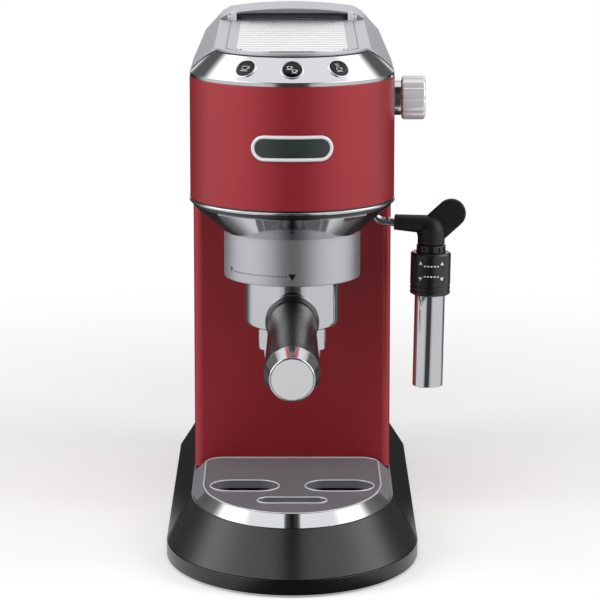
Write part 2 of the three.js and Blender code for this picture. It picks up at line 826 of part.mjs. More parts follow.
// The rim's outline, closed at the back where the tray ends.
function trayRimPoints(inset) {
  return bulletPoints({
    halfWidth: rimHalfWidth - inset,
    noseLength: rimNoseLength - inset,
    noseCentreY: rimNoseCentreY,
    backY: trayRearY - inset / 4,
    cornerRadius: cupPlateCornerRadius - inset / 2,
  });
}

// The bevelled body of the cup plate, moved in and down by a sheet.
function bevelledBody(inset, drop, lowZ) {
  return loft([
    { points: trayRimPoints(cupPlateSkirtInset + inset), z: lowZ },
    { points: trayRimPoints(cupPlateSkirtInset + inset), z: cupPlateSkirtZ - drop },
    { points: cupPlatePoints(inset), z: cupPlateZ - drop },
  ]);
}

function makeDripTray() {
  const lowZ = plateTopZ + slideGap;
  const outer = loft([baseSection(lowZ, 0), baseSection(rimZ, 0)]);
  const floorZ = lowZ + trayFloor;
  const inner = loft([baseSection(floorZ, trayWall), baseSection(rimZ + 1, trayWall)]);
  const front = block(-beyond - baseHalfWidth, baseHalfWidth + beyond, -baseNoseLength - beyond, trayRearY, 0, rimZ);
  const basin = block(
    -baseHalfWidth, baseHalfWidth, -baseNoseLength, trayRearY - trayWall, 0, rimZ + beyond);
  add("drip_tray", cut(common(outer, front), common(inner, basin)), blackPlastic);

  const standZ = rimZ + seatGap;
  const frontOfTrim = block(
    -baseHalfWidth, baseHalfWidth, -baseNoseLength - beyond, trimEndY, standZ, cupPlateZ);
  const band = (inset) => loft([
    { points: trayRimPoints(inset), z: standZ - 0.01 * inset },
    { points: cupPlatePoints(inset), z: cupPlateZ + 0.01 * inset },
  ]);
  add("tray_trim", cut(common(band(0), frontOfTrim), band(trimSheet)), chrome);

  const underTrim = cut(
    block(-baseHalfWidth, baseHalfWidth, -baseNoseLength - beyond, trimEndY + trimEndGap, 0, cupPlateZ + 1),
    loft([
      { points: trayRimPoints(trimSheet + slideGap), z: rimZ - 1 },
      { points: trayRimPoints(trimSheet + slideGap), z: standZ },
      { points: cupPlatePoints(trimSheet + slideGap), z: cupPlateZ },
      { points: cupPlatePoints(trimSheet + slideGap), z: cupPlateZ + 2 },
    ]));
  const body = cut(bevelledBody(0, 0, standZ), underTrim);
  const hollow = bevelledBody(trimSheet + slideGap + cupPlateSheet, cupPlateSheet, standZ - 1);
  const lips = [];
  const holes = [];
  for (const side of [-1, 1]) {
    const lipShape = slot(drainHalfLength + cupPlateSheet, drainHalfWidth + cupPlateSheet,
      side * drainCentreX, drainCentreY);
    lips.push(prism(lipShape, cupPlateZ - drainLip, cupPlateZ - cupPlateSheet / 2, 5));
    const holeShape = slot(drainHalfLength, drainHalfWidth, side * drainCentreX, drainCentreY);
    holes.push(prism(holeShape, rimZ - beyond, cupPlateZ + 1, 5));
  }
  const dish = prism(
    slot(fingerSlotHalfLength + cupPlateSheet, fingerSlotHalfWidth + cupPlateSheet, 0, fingerSlotY),
    cupPlateZ - fingerSlotDepth - cupPlateSheet, cupPlateZ - cupPlateSheet / 2, 4);
  const scoop = prism(
    slot(fingerSlotHalfLength, fingerSlotHalfWidth, 0, fingerSlotY),
    cupPlateZ - fingerSlotDepth, cupPlateZ + 1, 4);
  const plate = cut(join(cut(body, hollow), ...lips, dish), ...holes, scoop);
  add("cup_plate", plate, polishedSteel);
}

// ---- Body shells ------------------------------------------------------------------------

// Height of the seam between the wrap and the cover: it rises where the sides close in.
function seamZ(y) {
  const slope = (coverTop - coverEdgeZ) / (headRadius - coverTopHalfWidth);
  return wrapTop + slope * (headRadius - bodyHalfWidth(y));
}

function makeBody() {
  const lowZ = rimZ + seatGap;
  const panelBackY = columnFaceY + columnReturn;
  const frontY = groupAxisY - headRadius - beyond;
  const across = headRadius + beyond;

  const ring = cut(
    bodyPrism(0, lowZ, seamZ(rearY) + 1),
    bodyPrism(sheet, lowZ - 1, seamZ(rearY) + 2, rearY + beyond));
  const silhouette = polygon([
    [panelBackY + slideGap, lowZ - 1],
    [rearY + beyond, lowZ - 1],
    [rearY + beyond, seamZ(rearY + beyond)],
    [taperStartY, wrapTop],
    [frontY, wrapTop],
    [frontY, headBottom],
    [panelBackY + slideGap, headBottom],
  ]);
  const stemHole = crossRod(stemRadius + slideGap, 0, across, knobY, knobZ);
  const wrap = cut(common(ring, prismAlongX(silhouette, -across, across)), stemHole);
  add("body_wrap", wrap, redPaint);

  const face = (inset) => {
    const halfX = columnHalfWidth - inset;
    const frontFace = columnFaceY + inset;
    const radius = columnCornerRadius - inset;
    const shape = new THREE.Shape();
    shape.moveTo(halfX, panelBackY + inset * beyond);
    shape.lineTo(-halfX, panelBackY + inset * beyond);
    shape.absarc(-halfX + radius, frontFace + radius, radius, Math.PI, 1.5 * Math.PI, false);
    shape.absarc(halfX - radius, frontFace + radius, radius, 1.5 * Math.PI, 2 * Math.PI, false);
    return shape;
  };
  const column = cut(
    prism(face(0), lowZ, headBottom - slideGap),
    prism(face(sheet), lowZ - 1, headBottom + 1));
  add("column_front", column, redPaint);
}

// ---- Chassis ----------------------------------------------------------------------------

function makeChassis() {
  const lowZ = rimZ + seatGap;
  const topZ = wrapTop - slideGap;
  const inset = sheet + slideGap;
  const frontFaceY = columnFaceY + inset;
  const corner = roundedRectangle(
    columnHalfWidth - inset, rearY - frontFaceY, columnCornerRadius, 0, rearY);
  const outline = common(bodyPrism(inset, lowZ, topZ, rearY), prism(corner, lowZ, topZ));
  const bayFrontY = tankFrontY - slideGap;
  const worksBackY = bayFrontY - bayWall;
  const works = block(
    -worksHalfWidth, worksHalfWidth, frontFaceY + frontWall, worksBackY, worksFloorZ, topZ + beyond);
  const bay = block(
    -tankHalfWidth - slideGap, tankHalfWidth + slideGap,
    bayFrontY, rearY + beyond, bayFloorZ, topZ + beyond);
  const headWindow = block(
    -windowHalfWidth, windowHalfWidth, frontFaceY - beyond, frontFaceY + frontWall + 1, windowBottom, topZ + beyond);
  const seatPocket = rod(seatRadius + slideGap, hoseZ - hoseRadius, bayFloorZ + 1).translate(0, outletY, 0);
  const hoseWay = block(
    -hoseRadius - hoseRoom, hoseRadius + hoseRoom, pumpY, outletY, lowZ - 1, hoseZ + hoseRadius + slideGap);
  add("chassis", cut(outline, works, bay, headWindow, seatPocket, hoseWay), blackPlastic);
}

// ---- Top cover and what stands on it ----------------------------------------------------

// The roof line across the machine: flat middle and two sloping shoulders.
function roof(inset) {
  const slope = (coverTop - coverEdgeZ) / (headRadius - coverTopHalfWidth);
  const outX = headRadius + beyond;
  const topX = coverTopHalfWidth - inset * 0.5;
  const top = coverTop - inset;
  const sideZ = top - slope * (outX - topX);
  const lowZ = Math.min(sideZ, wrapTop) - beyond;
  const shape = polygon([[-outX, lowZ], [outX, lowZ], [outX, sideZ], [topX, top], [-topX, top], [-outX, sideZ]]);
  return prismAlongY(shape, groupAxisY - headRadius - beyond, rearY + beyond);
}

// What lies in front of the cheeks' front edges, where the control panel is.
function frontRegion(shiftY, lowZ, highZ) {
  const outX = headRadius + beyond;
  const lean = (cheekLowY - cheekHighY) / (cheekLowX - cheekHighX);
  const outY = cheekHighY + lean * (outX - cheekHighX) + shiftY;
  const frontY = groupAxisY - headRadius - beyond;
  const shape = polygon([
    [-outX, frontY],
    [outX, frontY],
    [outX, outY],
    [cheekHighX, cheekHighY + shiftY],
    [-cheekHighX, cheekHighY + shiftY],
    [-outX, outY],
  ]);
  return prism(shape, lowZ, highZ);
}

function atGroup(geometry) {
  return geometry.translate(0, groupAxisY, 0);
}

// The cover's full block, or the room inside it when moved in by its wall.
function coverBlock(inset, lowZ) {
  const high = coverTop + 1;
  const full = common(bodyPrism(inset, lowZ, high), roof(inset));
  const panelRoom = cut(
    frontRegion(inset, lowZ - 1, high + 1),
    atGroup(rod(topEdgeRadius - inset, lowZ - 2, high + 2, bigRound)));
  return cut(full, panelRoom);
}

function makeTopCover() {
  const outX = headRadius + beyond;
  const lowZ = wrapTop - 1;
  const frontY = groupAxisY - headRadius - beyond;
  const aboveSeam = prismAlongX(polygon([
    [frontY, wrapTop + seatGap],
    [taperStartY, wrapTop + seatGap],
    [rearY + beyond, seamZ(rearY + beyond) + seatGap],
    [rearY + beyond, coverTop + beyond],
    [frontY, coverTop + beyond],
  ]), -outX, outX);
  const shell = cut(coverBlock(0, lowZ), coverBlock(coverWall, lowZ - 1));
  const underEdge = common(
    atGroup(rod(topEdgeRadius + 1, lowZ - 1, coverTop - topEdgeDepth, bigRound)),
    block(-cheekHighX, cheekHighX, frontY, cheekHighY, lowZ - 1, coverTop));
  const tankWay = block(
    -tankHalfWidth - slideGap, tankHalfWidth + slideGap,
    tankFrontY - slideGap, rearY + beyond, lowZ - 1, coverTop + 1);
  const recess = warmerOutline(slideGap, coverTop - warmerSunk, coverTop + 1);
  add("top_cover", cut(common(shell, aboveSeam), underEdge, tankWay, recess), silverPaint);
}

// The warmer plate's outline: the top's round front edge between two straight sides.
function warmerOutline(grow, lowZ, highZ) {
  const round = atGroup(rod(warmerRadius + grow, lowZ, highZ, bigRound));
  const rear = block(
    -warmerHalfWidth - grow, warmerHalfWidth + grow, groupAxisY, warmerRearY + grow, lowZ, highZ);
  const sides = block(
    -warmerHalfWidth - grow, warmerHalfWidth + grow,
    groupAxisY - warmerRadius - beyond, warmerRearY + grow, lowZ, highZ);
  return common(join(round, rear), sides);
}

function makeWarmer() {
  const lowZ = coverTop - warmerSunk + seatGap;
  const highZ = lowZ + warmerSheet;
  const ribs = [];
  for (let y = ribFrontY; y < warmerRearY - ribWidth; y += ribPitch) {
    const behindAxis = y + ribWidth / 2 - groupAxisY;
    const half = Math.sqrt(Math.max(0, warmerRadius ** 2 - (behindAxis - ribWidth) ** 2));
    const round = behindAxis < 0 ? half : warmerHalfWidth;
    const reach = Math.min(round, warmerHalfWidth) - ribInset;
    const side = polygon([
      [y, highZ - warmerSheet / 4],
      [y + ribWidth, highZ - warmerSheet / 4],
      [y + (ribWidth * (1 + ribTopShare)) / 2, highZ + ribHeight],
      [y + (ribWidth * (1 - ribTopShare)) / 2, highZ + ribHeight],
    ]);
    ribs.push(prismAlongX(side, -reach, reach));
  }
  add("warmer_plate", join(warmerOutline(0, lowZ, highZ), ...ribs), satinSteel);
}

function makeRail() {
  const standZ = coverTop + seatGap;
  const bar = prismAlongX(
    roundedRectangle(railDepth / 2, railHeight / 2, railCorner, railY, railLowZ + railHeight / 2),
    -railHalfLength, railHalfLength, 3);
  const feet = [-1, 1].map((side) => {
    const inner = railHalfLength - railFootLength;
    const reach = railDepth / 2 + railFootGrow;
    const [lowX, highX] = side < 0 ? [-railHalfLength, -inner] : [inner, railHalfLength];
    return block(lowX, highX, railY - reach, railY + reach, standZ, railHighZ - railCorner / 4);
  });
  add("rail_bar", join(bar, ...feet), chrome);

  for (const [name, side] of [["rail_end_left", -1], ["rail_end_right", 1]]) {
    const shape = roundedRectangle(railBlockWidth / 2, railBlockDepth / 2, railBlockCorner);
    const end = add(name, prism(shape, 0, railBlockHeight, 2), silverPaint);
    end.position.set(side * (railHalfLength + seatGap + railBlockWidth / 2), railY, standZ);
  }
}

// ---- Control panel and buttons ----------------------------------------------------------

// The panel's slope, from its foot to its top.
const slopeRun = new THREE.Vector2(panelTopRadius - panelFootRadius, panelTopZ - panelFootZ).normalize();
const slopeOut = new THREE.Vector2(slopeRun.y, -slopeRun.x); // points out of the panel

// Radius and height of a point on the slope, moved along the outward direction.
function onSlope(share, out) {
  const radius = THREE.MathUtils.lerp(panelFootRadius, panelTopRadius, share) + slopeOut.x * out;
  const height = THREE.MathUtils.lerp(panelFootZ, panelTopZ, share) + slopeOut.y * out;
  return new THREE.Vector2(radius, height);
}

// A group whose +Z points out of the panel at a button's angle (0 is the front, + is to the right).
function buttonFrame(angle) {
  const spot = onSlope(buttonSlope, 0);
  const frame = new THREE.Group();
  const turn = degrees(angle);
  frame.position.set(spot.x * Math.sin(turn), groupAxisY - spot.x * Math.cos(turn), spot.y);
  const outward = new THREE.Vector3(
    slopeOut.x * Math.sin(turn), -slopeOut.x * Math.cos(turn), slopeOut.y);
  frame.quaternion.setFromUnitVectors(new THREE.Vector3(0, 0, 1), outward);
  frame.updateMatrix();
  return frame;
}

function atButton(geometry, angle) {
  return geometry.applyMatrix4(buttonFrame(angle).matrix);
}

function makeControls() {
  const lowZ = wrapTop + seatGap;
  const innerFoot = onSlope(0, -panelWall);
  const cone = atGroup(turned([
    [innerFoot.x, lowZ],
    [panelFootRadius, lowZ],
    [panelFootRadius, panelFootZ],
    [panelTopRadius, panelTopZ],
    [panelTopRadius, panelTopZ - panelWall * 1.4],
    [innerFoot.x, innerFoot.y],
  ], bodyRound));
  const holeRadius = buttonRadius + slideGap;
  const bezels = [];
  const holes = [];
  for (const angle of buttonAngles) {
    bezels.push(atButton(rod(holeRadius + bezelWidth, -panelWall / 2, bezelProud), angle));
    holes.push(atButton(rod(holeRadius, -panelWall - 2, bezelProud + 1), angle));
  }
  const sector = frontRegion(-slideGap, wrapTop - 1, coverTop + 1);
  add("control_panel", cut(join(common(cone, sector), ...bezels), ...holes), chrome);

  buttonAngles.forEach((angle, i) => {
    const button = turned([
      [0, -buttonDepth - buttonStemLength],
      [buttonStemRadius, -buttonDepth - buttonStemLength],
      [buttonStemRadius, -buttonDepth],
      [buttonRadius, -buttonDepth],
      [buttonRadius, buttonProud - buttonEdge],
      [buttonRadius - buttonEdge, buttonProud],
      [0, buttonProud],
    ], midRound);
    const frame = buttonFrame(angle);
    machine.add(frame);
    add(buttonNames[i], button, blackPlastic, frame);
  });

  // The switch board lies under the slope, out of reach of the buttons' stems at full travel.
  const depth = buttonDepth + buttonStemLength + buttonTravel + slideGap;
  const halfShare = boardReach / onSlope(0, 0).distanceTo(onSlope(1, 0));
  const corners = [
    onSlope(buttonSlope - halfShare, -depth - boardThickness),
    onSlope(buttonSlope - halfShare, -depth),
    onSlope(buttonSlope + halfShare, -depth),
    onSlope(buttonSlope + halfShare, -depth - boardThickness),
  ];
  const boardCone = turned(corners.map((corner) => [corner.x, corner.y]), bigRound);
  const fan = prism(ringSector(1, headRadius, -90, boardHalfAngle * 2), wrapTop - beyond, coverTop);
  const posts = [-0.5, 0.5].map((share) => {
    const angle = share * buttonAngles[2];
    return atButton(rod(boardPostRadius, -depth - boardThickness / 2, -panelWall - slideGap, 8), angle);
  });
  const board = join(atGroup(common(boardCone, fan)), ...posts);
  add("switch_board", board, boardGreen);
}

// ---- Badge: blank, curved to the head ----------------------------------------------------

function makeBadge() {
  const standRadius = headRadius + seatGap;
  const ring = (inner, outer) => turned([
    [inner, badgeZ - badgeHalfHeight - 1],
    [outer, badgeZ - badgeHalfHeight - 1],
    [outer, badgeZ + badgeHalfHeight + 1],
    [inner, badgeZ + badgeHalfHeight + 1],
  ], bodyRound);
  const oval = (inset) => prismAlongY(
    slot(badgeHalfLength - inset, badgeHalfHeight - inset, 0, badgeZ), -headRadius - beyond, 0, 8);
  const plate = common(ring(standRadius, standRadius + badgeProud), oval(0));
  const field = common(ring(standRadius + badgeProud - badgeSunk, standRadius + badgeProud + 1), oval(badgeRim));
  add("badge", atGroup(cut(plate, field)), badgeField);
}

// ---- Head underside ---------------------------------------------------------------------

function makeHeadUnderside() {
  const wall = shellWall;
  const shoulder = headRadius - underbodyInset;
  const topZ = headBottom - seatGap;
  const neckHole = blockNeckRadius + neckHoleRoom;
  const slopeTop = bowlConeHighZ + bowlEdge;
  const bowl = atGroup(turned([
    [neckHole, groupTop],
    [bowlConeLow, groupTop],
    [bowlConeHigh, bowlConeHighZ],
    [shoulder, slopeTop],
    [shoulder, topZ],
    [shoulder - wall, topZ],
    [shoulder - wall, slopeTop + bowlEdge / 2],
    [bowlConeLow - 1, groupTop + wall],
    [neckHole, groupTop + wall],
  ], bodyRound));
  const backY = columnFaceY - slideGap;
  const plateLowZ = slopeTop;
  const inFront = block(
    -headRadius - beyond, headRadius + beyond, groupAxisY - headRadius - beyond, backY, 0, headBottom);
  const plate = cut(
    common(bodyPrism(underbodyInset, plateLowZ, topZ), inFront),
    atGroup(rod(shoulder - wall, plateLowZ - 1, topZ + 1, bodyRound)));
  const socketRoom = socketRadius + slideGap;
  const boss = rod(socketRoom + socketBossWall, topZ - socketBossLength, topZ).translate(pivotX, pivotY, 0);
  const socketHole = rod(socketRoom, groupTop - beyond, headBottom + 1).translate(pivotX, pivotY, 0);
  const bossTrimmed = common(boss, join(
    atGroup(turned([
      [0, groupTop],
      [bowlConeLow, groupTop],
      [bowlConeHigh, bowlConeHighZ],
      [shoulder, slopeTop],
      [shoulder, topZ],
      [0, topZ],
    ], bodyRound)),
    plate));
  add("head_underbody", cut(common(join(bowl, plate, bossTrimmed), inFront), socketHole), blackPlastic);

  const ringFront = block(
    -headRadius - beyond, headRadius + beyond, groupAxisY - headRadius - beyond, ringEndY, 0, headBottom);
  const ring = cut(
    common(bodyPrism(-ringProud, ringLowZ, ringHighZ), ringFront),
    bodyPrism(underbodyInset - seatGap, ringLowZ - 1, ringHighZ + 1));
  add("head_ring", ring, chrome);

  const run = new THREE.Vector2(bowlConeHigh - bowlConeLow, bowlConeHighZ - groupTop).normalize();
  const out = new THREE.Vector2(run.y, -run.x);
  const onBowl = (z, lift) => {
    const share = (z - groupTop) / (bowlConeHighZ - groupTop);
    const radius = THREE.MathUtils.lerp(bowlConeLow, bowlConeHigh, share);
    return [radius + out.x * lift, z + out.y * lift];
  };
  const skirtCone = atGroup(turned([
    onBowl(skirtLowZ, seatGap),
    onBowl(skirtLowZ, seatGap + skirtSheet),
    onBowl(skirtHighZ, seatGap + skirtSheet),
    onBowl(skirtHighZ, seatGap),
  ], bodyRound));
  const front = prismAlongY(polygon([
    [-skirtLowHalfWidth, skirtLowZ - 2],
    [skirtLowHalfWidth, skirtLowZ - 2],
    [skirtHighHalfWidth, skirtHighZ + 2],
    [-skirtHighHalfWidth, skirtHighZ + 2],
  ]), groupAxisY - headRadius - beyond, groupAxisY);
  add("head_skirt", common(skirtCone, front), chrome);
}

// ---- Brewing group: a three-ramp bayonet ------------------------------------------------

const group = new THREE.Group();
group.position.set(0, groupAxisY, 0);
machine.add(group);

const bayonetAngles = Array.from({ length: rampCount }, (_, i) => -90 + (360 / rampCount) * i);

function makeBrewingGroup() {
  const castRadius = sleeveRadius - sleeveSheet - seatGap * 2;
  const topZ = groupTop - seatGap;
  add("group_sleeve", turned([
    [groupBore + groupFootWall, groupBottom],
    [sleeveRadius, groupBottom],
    [sleeveRadius, topZ],
    [sleeveRadius - sleeveSheet, topZ],
    [sleeveRadius - sleeveSheet, groupBottom + sleeveLip],
    [groupBore + groupFootWall, groupBottom + sleeveLip],
  ], bigRound), satinSteel, group);

  const cast = cut(
    rod(castRadius, headFoot, topZ, bigRound),
    rod(groupBore, headFoot - 1, groupCeiling, innerRound),
    rod(waterHoleRadius, groupCeiling - 1, topZ + 1));
  // A lug comes in between two ramps and rides up the sloping start of the next one.
  const leadDrop = rampThickness / 2;
  const leadOut = rampInnerRadius * Math.tan(degrees(rampLead));
  const leadCut = prismAlongX(
    polygon([[0, rampTop - leadDrop], [leadOut, rampTop], [leadOut, rampTop + 1], [0, rampTop + 1]]),
    0, groupBore - lugRoom / 2);
  const ramps = bayonetAngles.map((angle) => {
    const ramp = prism(ringSector(rampInnerRadius, groupBore + 1, angle, rampAngle), headFoot, rampTop, 3);
    return cut(ramp, leadCut.clone().rotateZ(degrees(angle - rampAngle / 2)));
  });
  add("group_head", join(cast, ...ramps), castAluminium, group);

  const gasketTop = groupCeiling - seatGap;
  add("group_gasket", turned([
    [screenRadius + slideGap, gasketLow],
    [gasketRadius, gasketLow],
    [gasketRadius, gasketTop],
    [screenRadius + slideGap, gasketTop],
  ], innerRound), blackRubber, group);

  const screenLow = gasketTop - screenThickness;
  add("shower_screen", turned([
    [waterHoleRadius, screenLow],
    [screenRadius - screenEdge, screenLow],
    [screenRadius, screenLow + screenEdge],
    [screenRadius, gasketTop],
    [waterHoleRadius, gasketTop],
  ], innerRound), satinSteel, group);

  add("screen_screw", turned([
    [0, screenLow - seatGap - screwHeadHeight],
    [screwHeadRadius, screenLow - seatGap - screwHeadHeight],
    [screwHeadRadius, screenLow - seatGap],
    [screwRadius, screenLow - seatGap],
    [screwRadius, groupCeiling + screwReach],
    [0, groupCeiling + screwReach],
  ], smallRound), satinSteel, group);
}

// ---- Portafilter ------------------------------------------------------------------------

const portafilter = new THREE.Group();
portafilter.position.set(0, groupAxisY, 0);
machine.add(portafilter);

const handleGroup = new THREE.Group();
handleGroup.position.set(0, -portaRadius, handleZ);
handleGroup.rotation.x = degrees(90 + handleDip);
portafilter.add(handleGroup);
handleGroup.updateMatrix();

function makePortafilter() {
  const innerRadius = portaRadius - portaWall;
  const floorZ = portaBottom + portaFloor;

  const fillet = [];
  for (let i = 0; i <= filletSteps; i += 1) {
    const angle = (i / filletSteps) * (Math.PI / 2);
    fillet.push([
      portaRadius - portaFillet + portaFillet * Math.sin(angle),
      portaBottom + portaFillet - portaFillet * Math.cos(angle),
    ]);
  }
  const cup = turned([
    [0, portaBottom],
    ...fillet,
    [portaRadius, portaRim],
    [0, portaRim],
  ], bigRound);
  const boss = rod(bossRadius, -portaWall * 2, bossLength, midRound).applyMatrix4(handleGroup.matrix);
  const lugs = bayonetAngles.map((angle) =>
    prism(ringSector(portaRadius - 0.5, portaRadius + lugReach, angle, lugAngle), lugLow, lugLow + lugHeight, 2));
  const room = rod(innerRadius, floorZ, portaRim + 1, innerRound);
  const drainHole = rod(nozzleRadius, portaBottom - 1, floorZ + 1);
  add("portafilter_bowl", cut(join(cup, boss, ...lugs), room, drainHole), chrome, portafilter);

  const basketRadius = innerRadius - slideGap;
  const basketLow = flangeTop - basketDepth;
  add("filter_basket", turned([
    [0, basketLow],
    [basketRadius - basketCorner, basketLow],
    [basketRadius, basketLow + basketCorner],
    [basketRadius, portaRim + seatGap],
    [basketRadius + basketFlange, portaRim + seatGap],
    [basketRadius + basketFlange, flangeTop],
    [basketRadius - basketWall, flangeTop],
    [basketRadius - basketWall, basketLow + basketCorner + basketWall / 2],
    [basketRadius - basketCorner - basketWall / 2, basketLow + basketWall],
    [0, basketLow + basketWall],
  ], innerRound), satinSteel, portafilter);

  const spoutTop = portaBottom - seatGap;
  const bodyShapeXZ = new THREE.Shape();
  const [outX, lowX] = [spoutHalfWidth, spoutHalfWidth - spoutTaper];
  const shoulderZ = spoutTop - spoutShoulder;
  bodyShapeXZ.moveTo(-outX + spoutShoulder, spoutTop);
  bodyShapeXZ.quadraticCurveTo(-outX, spoutTop, -outX, shoulderZ);
  bodyShapeXZ.lineTo(-lowX, spoutBottom);
  bodyShapeXZ.lineTo(-nozzleX + nozzleRadius, spoutBottom);
  bodyShapeXZ.quadraticCurveTo(0, spoutBottom + spoutArch, nozzleX - nozzleRadius, spoutBottom);
  bodyShapeXZ.lineTo(lowX, spoutBottom);
  bodyShapeXZ.lineTo(outX, shoulderZ);
  bodyShapeXZ.quadraticCurveTo(outX, spoutTop, outX - spoutShoulder, spoutTop);
  const body = common(
    prismAlongY(bodyShapeXZ, -spoutHalfDepth, spoutHalfDepth, 6),
    prism(slot(spoutHalfWidth, spoutHalfDepth), spoutBottom - 1, spoutTop + 1));
  const nozzles = [-1, 1].map((side) =>
    turned([
      [0, spoutBottom - nozzleLength],
      [nozzleRadius - nozzleEdge, spoutBottom - nozzleLength],
      [nozzleRadius, spoutBottom + 2],
      [0, spoutBottom + 2],
    ], smallRound).translate(side * nozzleX, 0, 0));
  const bores = [-1, 1].map((side) =>
    rod(nozzleBore, spoutBottom - nozzleLength - 1, spoutBottom + 4, 12).translate(side * nozzleX, 0, 0));
  add("spout", cut(join(body, ...nozzles), ...bores), blackPlastic, portafilter);

  const start = bossLength + slideGap;
  add("handle_grip", turned([
    [0, start],
    [rootRadius - rootBevel, start],
    [rootRadius, start + rootBevel],
    [rootRadius, start + rootLength - rootBevel],
    [rootRadius - rootBevel, start + rootLength],
    [gripStartRadius, start + rootLength + rootBevel * 2],
    [gripStartRadius, start + rootLength + gripWaist],
    [(gripStartRadius + gripEndRadius) / 2, (start + rootLength + gripWaist + gripEnd) / 2],
    [gripEndRadius, gripEnd - gripEndLength],
    [gripEndRadius, gripEnd],
    [0, gripEnd],
  ], midRound), blackPlastic, handleGroup);

  const capStart = gripEnd + slideGap;
  add("handle_cap", turned([
    [0, capStart],
    [gripEndRadius, capStart],
    [gripEndRadius, capStart + capBand],
    [gripEndRadius - capBevel, capStart + capLength],
    [0, capStart + capLength],
  ], bigRound), chrome, handleGroup);
}

// ---- Steam knob -------------------------------------------------------------------------

function makeSteamKnob() {
  const neckStart = headRadius + seatGap;
  add("knob_neck", turned([
    [stemRadius + slideGap, neckStart],
    [neckRadius, neckStart],
    [neckRadius, knobStartX - slideGap],
    [stemRadius + slideGap, knobStartX - slideGap],
  ], midRound).rotateY(Math.PI / 2), chrome).position.set(0, knobY, knobZ);

  // The rim runs in and out once for each flute.
  const outline = [];
  const steps = knobFlutes * 5;
  for (let i = 0; i < steps; i += 1) {
    const angle = (i / steps) * 2 * Math.PI;
    const wave = Math.abs(Math.sin((knobFlutes * angle) / 2));
    const radius = knobRadius - knobBevel - fluteDepth * (1 - Math.sqrt(wave));
    outline.push(new THREE.Vector2(radius * Math.cos(angle), radius * Math.sin(angle)));
  }
  const grip = new THREE.ExtrudeGeometry(new THREE.Shape(outline), {
    depth: knobLength - 2 * knobBevel,
    bevelThickness: knobBevel,
    bevelSize: knobBevel,
    bevelSegments: 1,
  }).rotateY(Math.PI / 2).translate(knobStartX + knobBevel, 0, 0);
  const stem = rod(stemRadius, stemInnerX, knobStartX + stemIntoKnob).rotateY(Math.PI / 2);
  add("steam_knob", join(grip, stem), chrome).position.set(0, knobY, knobZ);
}

// ---- Steam wand -------------------------------------------------------------------------

const wand = new THREE.Group();
wand.position.set(pivotX, pivotY, 0);
machine.add(wand);

const frotherGroup = new THREE.Group();
frotherGroup.position.set(wandX - pivotX, 0, elbowBottom);
frotherGroup.rotation.y = degrees(wandLean);
wand.add(frotherGroup);

